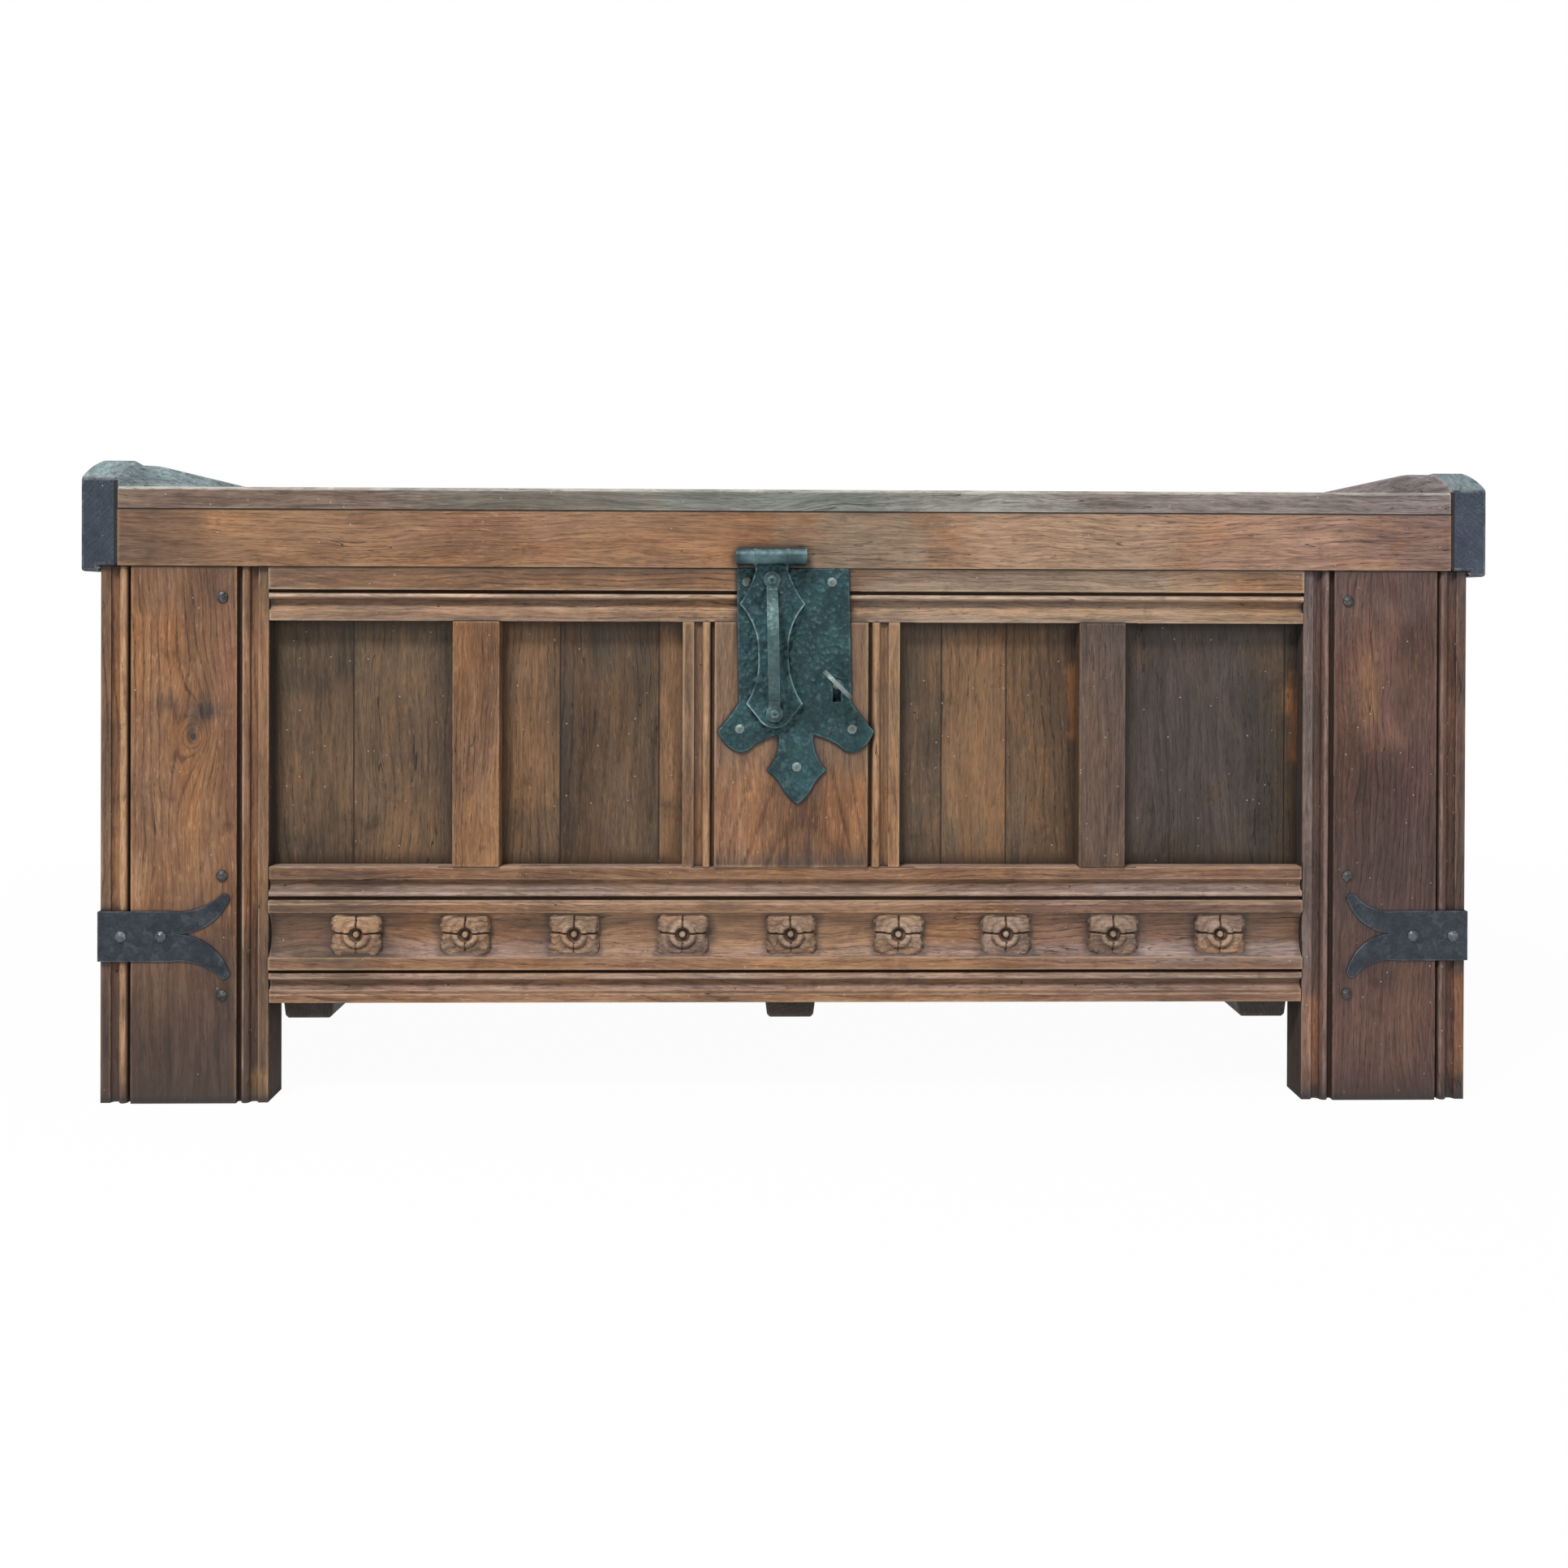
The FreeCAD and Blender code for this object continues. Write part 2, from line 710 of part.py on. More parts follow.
def floor_board(index):
    pitch = (rear_inner_y - front_inner_y) / floor_board_count
    y0 = front_inner_y + index * pitch + floor_play / 2
    return block(-side_inner_x + floor_play, side_inner_x - floor_play, y0, y0 + pitch - floor_play,
                 leg_clearance, leg_clearance + floor_thickness)


def floor_bearers():
    top = bearer_width / 2
    low = top - bearer_taper
    bearers = []
    for centre in (bearer_inset - half_width, set_out_shift, half_width - bearer_inset):
        steps = [(-top, 0.0), (top, 0.0), (low, bearer_bevel - bearer_height),
                 (low - bearer_bevel, -bearer_height), (bearer_bevel - low, -bearer_height),
                 (-low, bearer_bevel - bearer_height)]
        y0 = front_y + bearer_set_back
        section = face_of(steps, lambda u, w: V(centre + u, y0, leg_clearance + w))
        bearers.append(section.extrude(V(0, body_depth - 2 * bearer_set_back, 0)))
    return Part.makeCompound(bearers)


# ---------------------------------------------------------------- ironwork on the carcase
def strap_horn(side, reach, bow):
    """The upper or lower half of a fishtail strap: the band's edge, the horn's tip, back to the crotch."""
    half = strap_height / 2
    tip = half + strap_flare
    run, flare = strap_swell
    steps = [(0.0, half), (strap_straight, half),
             (between(strap_straight, reach, run), half + flare * strap_flare,
              reach - strap_tip_width, tip - strap_tip_crown),
             (reach - strap_tip_crown, tip - strap_tip_crown, reach, tip - strap_tip_height),
             (between(strap_crotch, reach, strap_horn_run), bow * tip)]
    horn = with_down(steps, lambda h: side * h)
    horn[-1] += (strap_crotch, strap_crotch_rise)
    return horn


def strap_outline(reach):
    return strap_horn(1, reach, upper_horn_bow) + backwards(strap_horn(-1, reach, lower_horn_bow))


def corner_strap(side):
    outer_x = side * (half_width + strap_thickness)
    low_y = front_y - strap_thickness
    front_outline = strap_outline(strap_reach_left if side < 0 else strap_reach_right)
    front = face_of(front_outline, lambda s, h: V(side * (half_width - s), low_y, strap_centre_height + h))
    front = front.extrude(V(0, strap_thickness, 0))
    flank_outline = strap_outline(strap_reach_left)
    flank = face_of(flank_outline, lambda s, h: V(outer_x, front_y + s, strap_centre_height + h))
    flank = flank.extrude(V(-side * strap_thickness, 0, 0))
    x0, x1 = sorted((outer_x, side * half_width))
    half = strap_height / 2
    corner = block(x0, x1, low_y, front_y, strap_centre_height - half, strap_centre_height + half)
    strap = front.fuse(corner).fuse(flank).removeSplitter()
    for place, outward in strap_nail_places(side):
        strap = strap.cut(shank(place, outward, nail_depth, nail_play))
    return strap


def corner_strap_nails():
    nails = [nail(place, outward, nail_head_radius)
             for side in (-1, 1) for place, outward in strap_nail_places(side)]
    return Part.makeCompound(nails)


def leg_nails():
    return Part.makeCompound([nail(place, FRONT, nail_head_radius) for place in leg_nail_places()])


def hinge_knuckle(x0, x1):
    knuckle = cylinder_x(x0, x1, hinge_y, hinge_z, knuckle_radius)
    return knuckle.cut(cylinder_x(x0, x1, hinge_y, hinge_z, hinge_pin_radius + running_fit))


def hinge_spans(centre):
    """Spans of the two outer knuckles and the middle one along the hinge."""
    third = hinge_width / 3
    left = centre - hinge_width / 2
    outer = [(left, left + third - end_play / 2), (left + 2 * third + end_play / 2, left + hinge_width)]
    return outer, (left + third + end_play / 2, left + 2 * third - end_play / 2)


def hinge_leaf(centre, spans, z_near, z_far):
    """A leaf: a plate that stops clear of the other leaf's knuckles, and tabs to its own."""
    left = centre - hinge_width / 2
    y1 = back_y + hinge_leaf_thickness
    leaf = block(left, left + hinge_width, back_y, y1, min(z_near, z_far), max(z_near, z_far))
    for x0, x1 in spans:
        tab_low, tab_high = sorted((hinge_z, z_near))
        tab = block(x0, x1, back_y + knuckle_gap, y1, tab_low, tab_high)
        own = tab.fuse(hinge_knuckle(x0, x1))
        leaf = leaf.fuse(own.cut(cylinder_x(x0, x1, hinge_y, hinge_z, hinge_pin_radius + running_fit)))
    return leaf.removeSplitter()


def rear_hinge_parts():
    body_nails, lid_nails = hinge_nail_places()
    reach = knuckle_radius + knuckle_gap
    body_leaves = []
    lid_leaves = []
    pins = []
    for centre in (-hinge_x, hinge_x):
        outer, middle = hinge_spans(centre)
        body_leaves.append(hinge_leaf(centre, outer, hinge_z - reach, hinge_z - hinge_body_leaf_length))
        lid_leaves.append(hinge_leaf(centre, [middle], hinge_z + reach, hinge_z + hinge_lid_leaf_length))
        pins.append(cylinder_x(centre - hinge_width / 2, centre + hinge_width / 2, hinge_y, hinge_z,
                               hinge_pin_radius))
    body_holes = shank_holes(body_nails, BACK)
    lid_holes = shank_holes(lid_nails, BACK)
    return {
        "rear_hinge_body_leaves": Part.makeCompound([cut_all(leaf, body_holes) for leaf in body_leaves]),
        "rear_hinge_lid_leaves": Part.makeCompound([cut_all(leaf, lid_holes) for leaf in lid_leaves]),
        "rear_hinge_pins": Part.makeCompound(pins),
        "rear_hinge_body_nails": Part.makeCompound([nail(p, BACK, small_head_radius) for p in body_nails]),
        "rear_hinge_lid_nails": Part.makeCompound([nail(p, BACK, small_head_radius) for p in lid_nails]),
    }


# ---------------------------------------------------------------- lock
def plate_outline():
    """Right half of the lock plate: straight sides, a swept arm and a spear-shaped foot."""
    half = plate_width / 2
    tip_drop = plate_shoulder_drop + plate_arm_drop

    def on_arm(place, start):
        return half + place[0] * plate_arm_reach, start + place[1] * plate_arm_drop

    def on_foot(place):
        return place[0] * half, between(tip_drop, plate_height, place[1])

    swell = on_arm(plate_arm_swell, plate_shoulder_drop)
    belly, heel, sole, instep = (on_arm(place, tip_drop) for place in plate_arm_end)
    sling, root = (on_foot(place) for place in plate_sling)
    neck, corner, flank, waist, spear = (on_foot(place) for place in plate_foot)
    return [(0.0, 0.0), (half, 0.0), (half, plate_shoulder_drop),
            swell + (half + plate_arm_reach, tip_drop), belly + heel, sole + instep, sling + root,
            neck + corner, flank + waist, spear + (0.0, plate_height)]


def key_hole_tool(y0, y1):
    slot_half = keyhole_slot_width / 2
    slot = block(key_x - slot_half, key_x + slot_half, y0, y1, key_height - keyhole_slot_depth, key_height)
    return slot.fuse(cylinder_y(key_x, y0, y1, key_height, keyhole_radius))


def lock_plate():
    y0 = front_y - plate_thickness
    plate = front_plate(mirrored(plate_outline()), y0, plate_thickness, plate_top_x, body_height)
    slot_half = staple_width / 2 + slot_play
    slot = block(staple_x - slot_half, staple_x + slot_half, y0, front_y, slot_bottom, slot_top)
    holes = shank_holes(plate_nail_places(), FRONT)
    return cut_all(plate, [slot, key_hole_tool(y0, front_y)] + holes)


def lock_plate_nails():
    return Part.makeCompound([nail(place, FRONT, small_head_radius, plate_head_height)
                              for place in plate_nail_places()])


def lock_case():
    """Open-fronted iron box let into the plank, with a bearing hole for the key and guides for the bolt."""
    outer = block(case_left - case_wall, case_right + case_wall, front_y, case_back_y + case_wall,
                  case_bottom - case_wall, case_top + case_wall)
    inner = block(case_left, case_right, front_y, case_back_y, case_bottom, case_top)
    guide_x = staple_x + staple_width
    lower = block(guide_x, guide_x + case_guide_length, bar_front_y, case_back_y,
                  bar_bottom - bolt_play - case_wall, bar_bottom - bolt_play)
    upper = block(guide_x, guide_x + case_guide_length, bar_front_y, case_back_y,
                  bar_top + bolt_play, bar_top + bolt_play + case_wall)
    case = outer.cut(inner).fuse(lower).fuse(upper)
    bearing = cylinder_y(key_x, case_back_y, case_back_y + case_wall, key_height,
                         key_shaft_radius + running_fit)
    return case.cut(bearing)


def lock_bolt():
    """Hook bolt: a deep bar with the key's notch, an arm that comes forward, and a prong for the staple."""
    bar = block(arm_left_x, bar_right_x, bar_front_y, bar_back_y, bar_bottom, bar_top)
    arm = block(arm_left_x, arm_right_x, prong_front_y, bar_back_y, prong_bottom, bar_top)
    prong = block(arm_right_x, prong_tip_x, prong_front_y, prong_back_y, prong_bottom, prong_top)
    notch_half = bolt_notch_width / 2
    notch = block(notch_x - notch_half, notch_x + notch_half, bar_front_y, bar_back_y, bar_bottom,
                  key_height + key_bit_radius + bolt_play)
    return bar.fuse(arm).fuse(prong).cut(notch).removeSplitter()


def key():
    """Key with its ring bow edge-on at the same turn as the bit, shaft, collar and one square bit."""
    plate_face_y = front_y - plate_thickness
    bow_y = plate_face_y - key_stand_off - key_bow_depth / 2
    shaft_front_y = plate_face_y - key_stand_off - key_bow_rim / 2
    shaft = cylinder_y(key_x, shaft_front_y, case_back_y + case_wall, key_height, key_shaft_radius)
    collar = cylinder_y(key_x, plate_face_y - key_stand_off, plate_face_y - key_stand_off
                        + key_collar_length, key_height, key_collar_radius)
    bit_half = key_bit_thickness / 2
    bit = block(key_x - bit_half, key_x + bit_half, bar_back_y - key_bit_length, bar_back_y,
                key_height, key_height + key_bit_radius)
    half = key_bow_thickness / 2
    outer = oval(key_bow_width / 2, key_bow_depth / 2, bow_y, half)
    inner = oval(key_bow_width / 2 - key_bow_rim, key_bow_depth / 2 - key_bow_rim, bow_y, half)
    whole = shaft.fuse(collar).fuse(outer.cut(inner)).fuse(bit)
    whole.rotate(V(key_x, 0, key_height), V(0, 1, 0), -key_rest_turn)
    return whole.removeSplitter()


def oval(half_across, half_depth, y, half_thickness):
    """Oval disc in the key's own upright plane, centred on the key's axis."""
    a = math.sqrt(0.5) * half_across
    b = math.sqrt(0.5) * half_depth
    steps = [(-half_across, 0.0), (-a, b, 0.0, half_depth), (a, b, half_across, 0.0),
             (a, -b, 0.0, -half_depth), (-a, -b, -half_across, 0.0)]
    face = face_of(steps, lambda u, v: V(key_x - half_thickness, y + v, key_height + u))
    return face.extrude(V(2 * half_thickness, 0, 0))


# ---------------------------------------------------------------- hasp
def hasp_outline():
    """Right half of the hasp below its knuckle: a pointed head, a waist and a pointed foot."""
    neck = hasp_neck / 2
    point = hasp_point_width / 2
    waist = hasp_waist / 2
    foot = hasp_foot_width / 2
    waist_drop = (hasp_point_drop + hasp_foot_drop) / 2
    out, down = hasp_waist_swell
    return [(0.0, 0.0), (neck, 0.0), (neck, hasp_neck_drop),
            (between(neck, point, hasp_shoulder_swell[0]), hasp_shoulder_swell[1] * hasp_point_drop,
             point, hasp_point_drop),
            (between(waist, point, out), between(hasp_point_drop, waist_drop, down), waist, waist_drop),
            (between(waist, foot, out), between(hasp_foot_drop, waist_drop, down), foot, hasp_foot_drop),
            (hasp_chin[0] * foot, between(hasp_foot_drop, hasp_length, hasp_chin[1])),
            (hasp_tip_swell[0] * foot, between(hasp_foot_drop, hasp_length, hasp_tip_swell[1]),
             0.0, hasp_length)]


def hasp_plate():
    steps = mirrored(hasp_outline())
    plate = front_plate(steps, hasp_front_y, hasp_thickness, barrel_x, barrel_z)
    half = hasp_knuckle_length / 2
    above = block(barrel_x - hasp_length, barrel_x + hasp_length, hasp_front_y, hasp_back_y,
                  barrel_z, barrel_z + hasp_length)
    sides = [block(barrel_x + a, barrel_x + b, hasp_front_y, hasp_back_y, barrel_z - barrel_radius, barrel_z)
             for a, b in ((-hasp_length, -half), (half, hasp_length))]
    plate = cut_all(plate, [above] + sides)
    knuckle = cylinder_x(barrel_x - half, barrel_x + half, barrel_y, barrel_z, barrel_radius)
    bore = cylinder_x(barrel_x - half, barrel_x + half, barrel_y, barrel_z, barrel_pin_radius + running_fit)
    return plate.fuse(knuckle).cut(bore).removeSplitter()


def hasp_staple():
    """Square-cornered staple on the hasp's back; its eye faces sideways for the bolt's prong."""
    half = staple_width / 2
    outer = block(staple_x - half, staple_x + half, hasp_back_y, staple_back_y,
                  staple_z - staple_half_height, staple_z + staple_half_height)
    eye_half = staple_eye_height / 2
    eye = block(staple_x - half, staple_x + half, hasp_back_y, front_y + eye_behind_plate,
                staple_z - eye_half, staple_z + eye_half)
    return outer.cut(eye)


def bail_handle():
    """Bowed strap that stands off the hasp, with a round riveted foot at each end."""
    middle = (bail_bottom_drop + bail_top_drop) / 2
    half_foot = bail_thickness
    steps = [(bail_top_drop - half_foot, 0.0), (bail_top_drop + half_foot, 0.0),
             (middle, bail_rise, bail_bottom_drop - half_foot, 0.0), (bail_bottom_drop + half_foot, 0.0),
             (middle, bail_rise + bail_thickness, bail_top_drop - half_foot, 0.0)]
    section = face_of(steps, lambda v, rise: V(barrel_x - bail_width / 2, hasp_front_y - rise, barrel_z - v))
    handle = section.extrude(V(bail_width, 0, 0))
    for rivet_drop, end_drop in ((rivet_top_drop, bail_top_drop), (rivet_bottom_drop, bail_bottom_drop)):
        low, high = sorted((barrel_z - rivet_drop, barrel_z - end_drop))
        pad = cylinder_y(barrel_x, hasp_front_y - bail_foot_thickness, hasp_front_y, barrel_z - rivet_drop,
                         bail_foot_radius)
        neck = block(barrel_x - bail_width / 2, barrel_x + bail_width / 2,
                     hasp_front_y - bail_foot_thickness, hasp_front_y, low, high)
        handle = handle.fuse(pad).fuse(neck)
    handle.rotate(V(barrel_x, hasp_front_y, barrel_z), V(0, 1, 0), -iron_lean)
    return cut_all(handle.removeSplitter(), rivet_shanks(rivet_shank_radius))


def rivet_points():
    return [leaning(0.0, drop, barrel_x, barrel_z, hasp_front_y - bail_foot_thickness)
            for drop in (rivet_top_drop, rivet_bottom_drop)]


def rivet_shanks(radius):
    return [cylinder_y(p.x, p.y, hasp_back_y, p.z, radius) for p in rivet_points()]


def hasp_rivets():
    rivets = []
    for point, stem in zip(rivet_points(), rivet_shanks(rivet_shank_radius)):
        rivets.append(nail_head(point, FRONT, small_head_radius).fuse(stem))
    return Part.makeCompound(rivets)


def hasp_hinge_leaf():
    """Two outer knuckles on a leaf that passes through the front apron and turns up behind it."""
    left = barrel_x - barrel_length / 2
    right = barrel_x + barrel_length / 2
    half = hasp_knuckle_length / 2 + end_play
    bottom = barrel_z - barrel_radius
    inner_y = lid_front_y + apron_thickness
    leaf = block(left, right, lid_front_y, inner_y + leaf_thickness, bottom, bottom + leaf_thickness)
    flange = block(left, right, inner_y, inner_y + leaf_thickness, bottom, bottom + leaf_flange_height)
    leaf = leaf.fuse(flange)
    for x0, x1 in ((left, barrel_x - half), (barrel_x + half, right)):
        tab = block(x0, x1, barrel_y, lid_front_y, bottom, bottom + leaf_thickness)
        leaf = leaf.fuse(tab).fuse(cylinder_x(x0, x1, barrel_y, barrel_z, barrel_radius))
    leaf = leaf.cut(cylinder_x(left, right, barrel_y, barrel_z, barrel_pin_radius))
    return cut_all(leaf.removeSplitter(), shank_holes(leaf_nail_places(), BACK))


def leaf_nail_places():
    y = lid_front_y + apron_thickness + leaf_thickness
    z = barrel_z - barrel_radius + leaf_nail_rise
    return [V(barrel_x + side * leaf_nail_spacing / 2, y, z) for side in (-1, 1)]


def hasp_hinge_nails():
    return Part.makeCompound([nail(place, BACK, small_head_radius) for place in leaf_nail_places()])


def hasp_hinge_pin():
    half = barrel_length / 2
    return cylinder_x(barrel_x - half, barrel_x + half, barrel_y, barrel_z, barrel_pin_radius)


# ---------------------------------------------------------------- lid
def lid_board(index):
    pitch = (lid_back_y - lid_front_y) / lid_board_count
    y0 = lid_front_y + index * pitch
    board = block(-lid_board_half, lid_board_half, y0, y0 + pitch, apron_top, lid_top)
    if index > 0:
        return board
    worn = [edge for edge in board.Edges
            if edge.BoundBox.ZMin > apron_top and edge.BoundBox.YMax < lid_front_y + lid_edge_round]
    return board.makeFillet(lid_edge_round, worn)


def lid_front_apron():
    apron = block(-lid_board_half, lid_board_half, lid_front_y + apron_set_back,
                  lid_front_y + apron_thickness, lid_bottom, apron_top)
    bottom = barrel_z - barrel_radius
    slot = block(barrel_x - barrel_length / 2, barrel_x + barrel_length / 2, lid_front_y,
                 lid_front_y + apron_thickness, bottom, bottom + leaf_thickness)
    return cut_all(apron.cut(slot), shank_holes(leaf_nail_places(), BACK))


def lid_rear_apron():
    apron = block(-lid_board_half, lid_board_half, lid_back_y - apron_thickness, lid_back_y,
                  lid_bottom, apron_top)
    return cut_all(apron, shank_holes(hinge_nail_places()[1], BACK))


def lid_batten(side):
    """Heavy end batten: rounded noses, a long arched back and a lip that hangs outside the carcase."""
    middle = (lid_front_y + lid_back_y) / 2
    rises = left_batten_rises if side < 0 else right_batten_rises
    nose, crest, dip, shoulder, arch = (lid_top + rise for rise in rises)
    swell = (nose_curve[0] * crest_set_back, between(nose, crest, nose_curve[1]))
    bend = (between(dip_set_back, shoulder_set_back, shoulder_curve[0]),
            between(dip, shoulder, shoulder_curve[1]))
    profile = [(0.0, lid_bottom), (0.0, nose), swell + (crest_set_back, crest), (dip_set_back, dip),
               bend + (shoulder_set_back, shoulder)]
    front = with_across(profile, lambda y: lid_front_y + y)
    back = with_across(profile, lambda y: lid_back_y - y)
    steps = front + [(middle, arch) + back[-1]] + backwards(back)[1:]
    inner = side * lid_board_half
    outer = side * lid_half
    section = face_of(steps, lambda y, z: V(inner, y, z))
    batten = section.extrude(V(outer - inner, 0, 0))
    x0, x1 = sorted((side * (lid_half - lip_thickness), outer))
    lip = block(x0, x1, lid_front_y, lid_back_y, lid_bottom - lip_drop, lid_bottom)
    return batten.fuse(lip).removeSplitter()


# ---------------------------------------------------------------- assembly
def build_parts():
    rear_top = body_height - rear_top_rail_height
    side_top = body_height - side_top_rail_height
    low_rail_top = leg_clearance + side_bottom_rail_height
    parts = {
        "front_stile_left": front_stile(-1),
        "front_stile_right": front_stile(1),
        "top_front_rail": top_front_rail(),
        "bottom_front_rail": bottom_front_rail(),
        "carved_rosettes": carved_rosettes(),
        "muntin_left": muntin(muntin_left_x),
        "muntin_right": muntin(muntin_right_x),
        "centre_plank": centre_plank(),
        "rear_stile_left": rear_stile(-1),
        "rear_stile_right": rear_stile(1),
        "rear_top_rail": rear_rail(rear_top, body_height),
        "rear_bottom_rail": rear_rail(leg_clearance, low_rail_top),
        "rear_muntin_left": rear_muntin(0),
        "rear_muntin_right": rear_muntin(1),
        "floor_boards": Part.makeCompound([floor_board(index) for index in range(floor_board_count)]),
        "floor_bearers": floor_bearers(),
        "leg_nails": leg_nails(),
        "corner_strap_left": corner_strap(-1),
        "corner_strap_right": corner_strap(1),
        "corner_strap_nails": corner_strap_nails(),
        "lock_plate": lock_plate(),
        "lock_plate_nails": lock_plate_nails(),
        "lock_case": lock_case(),
        "lock_bolt": lock_bolt(),
        "key": key(),
        "hasp_plate": cut_all(hasp_plate(), rivet_shanks(rivet_shank_radius)),
        "hasp_staple": hasp_staple(),
        "bail_handle": bail_handle(),
        "hasp_rivets": hasp_rivets(),
        "hasp_hinge_leaf": hasp_hinge_leaf(),
        "hasp_hinge_pin": hasp_hinge_pin(),
        "hasp_hinge_nails": hasp_hinge_nails(),
        "lid_boards": Part.makeCompound([lid_board(index) for index in range(lid_board_count)]),
        "lid_front_apron": lid_front_apron(),
        "lid_rear_apron": lid_rear_apron(),
        "lid_batten_left": lid_batten(-1),
        "lid_batten_right": lid_batten(1),
    }
    parts.update(rear_hinge_parts())
    for index, place in enumerate(front_panel_boxes()):
        parts["front_panel_%d" % (index + 1)] = block(*place)
    for index, place in enumerate(rear_panel_boxes()):
        parts["rear_panel_%d" % (index + 1)] = block(*place)
    for name, side in (("left", -1), ("right", 1)):
        parts["side_top_rail_" + name] = side_rail(side, side_top, body_height)
        parts["side_bottom_rail_" + name] = side_rail(side, leg_clearance, low_rail_top)
        parts["side_muntin_" + name] = side_muntin(side)
        for index, place in enumerate(side_panel_boxes(side)):
            parts["side_panel_%s_%d" % (name, index + 1)] = block(*place)
    return parts


os.makedirs("parts", exist_ok=True)
for node, shape in build_parts().items():
    shape.exportStep("parts/%s.step" % node)
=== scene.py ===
import json
import random
from math import cos, e, exp, hypot, pi, radians, sin

import bmesh
import bpy
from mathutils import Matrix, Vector, noise
from mathutils.bvhtree import BVHTree

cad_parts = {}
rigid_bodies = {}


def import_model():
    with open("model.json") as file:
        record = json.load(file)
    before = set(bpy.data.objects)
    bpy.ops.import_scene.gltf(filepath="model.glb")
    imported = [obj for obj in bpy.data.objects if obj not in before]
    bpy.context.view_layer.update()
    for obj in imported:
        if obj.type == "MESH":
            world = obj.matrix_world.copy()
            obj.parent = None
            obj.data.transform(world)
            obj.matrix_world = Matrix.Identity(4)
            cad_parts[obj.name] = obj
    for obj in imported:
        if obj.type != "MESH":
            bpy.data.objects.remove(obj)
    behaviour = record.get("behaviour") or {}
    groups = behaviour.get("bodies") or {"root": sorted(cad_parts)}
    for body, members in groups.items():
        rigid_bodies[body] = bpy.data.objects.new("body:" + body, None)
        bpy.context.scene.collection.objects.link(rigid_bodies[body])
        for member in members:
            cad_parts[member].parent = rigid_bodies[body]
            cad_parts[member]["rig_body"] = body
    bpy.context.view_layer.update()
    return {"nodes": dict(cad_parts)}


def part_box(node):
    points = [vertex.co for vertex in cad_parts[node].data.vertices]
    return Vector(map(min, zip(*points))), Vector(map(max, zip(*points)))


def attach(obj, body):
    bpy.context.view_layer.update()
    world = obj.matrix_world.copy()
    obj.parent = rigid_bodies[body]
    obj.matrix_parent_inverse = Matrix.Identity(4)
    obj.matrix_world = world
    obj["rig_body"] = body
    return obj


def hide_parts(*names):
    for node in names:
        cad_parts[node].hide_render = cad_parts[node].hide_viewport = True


# Looks of a joined oak coffer: worn oak boards, hand-carved rosettes and hammered iron.
# Metres, in the CAD's own frame: +Z up, the front faces -Y.

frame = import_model()
NODES = frame["nodes"]

# ---- colours (linear)
# Each oak has five: dark rings, body, pale fibres, stains and bare worn wood, which also paints highlights
# on the crests. Each iron has three: in its dents, on its face and on rubbed edges, which also paints
# highlights there.
OAK_WARM = ((0.085, 0.038, 0.017), (0.27, 0.135, 0.066), (0.5, 0.29, 0.155), (0.062, 0.042, 0.03),
            (0.58, 0.39, 0.23))
OAK_RED = ((0.044, 0.02, 0.013), (0.132, 0.064, 0.046), (0.29, 0.15, 0.105), (0.042, 0.031, 0.029),
           (0.44, 0.29, 0.21))
OAK_BROWN = ((0.066, 0.034, 0.018), (0.215, 0.125, 0.074), (0.41, 0.255, 0.155), (0.062, 0.048, 0.038),
             (0.56, 0.41, 0.27))
OAK_PANEL = ((0.046, 0.026, 0.014), (0.132, 0.082, 0.048), (0.265, 0.158, 0.085), (0.047, 0.038, 0.031),
             (0.38, 0.27, 0.18))
OAK_GREY = ((0.08, 0.052, 0.036), (0.225, 0.168, 0.128), (0.42, 0.345, 0.285), (0.11, 0.103, 0.092),
            (0.68, 0.63, 0.56))
OAK_FLOWER = ((0.088, 0.052, 0.036), (0.285, 0.186, 0.128), (0.52, 0.37, 0.26), (0.125, 0.098, 0.086),
              (0.62, 0.47, 0.33))
OAK_SLATE = ((0.016, 0.022, 0.03), (0.038, 0.054, 0.079), (0.084, 0.109, 0.142), (0.03, 0.031, 0.036),
             (0.21, 0.22, 0.22))
OAK_BLACK = ((0.012, 0.01, 0.009), (0.036, 0.026, 0.021), (0.075, 0.055, 0.042), (0.016, 0.014, 0.013),
             (0.13, 0.1, 0.08))
OAK_RAW = ((0.105, 0.062, 0.036), (0.225, 0.145, 0.088), (0.36, 0.25, 0.16), (0.08, 0.062, 0.048),
           (0.5, 0.4, 0.3))
GOLDEN = (1.3, 1.02, 0.66)
ROSY = (1.0, 0.94, 1.08)
OLIVE = (0.84, 0.92, 0.88)
# Darkens cracks, seams and dents, and paints shade in joints and on the carved flowers.
GRIME_AND_SHADE = (0.014, 0.009, 0.006)
# Deepest hollows: dirt and painted shade.
DEEP_DIRT_AND_SHADE = (0.046, 0.024, 0.015)
# Knots and patina, and painted contact shade close to the iron.
SOOT_AND_SHADE = (0.03, 0.027, 0.028)
PALE_SPECK = (0.62, 0.55, 0.46)
WEATHERED = (0.4, 0.385, 0.355)
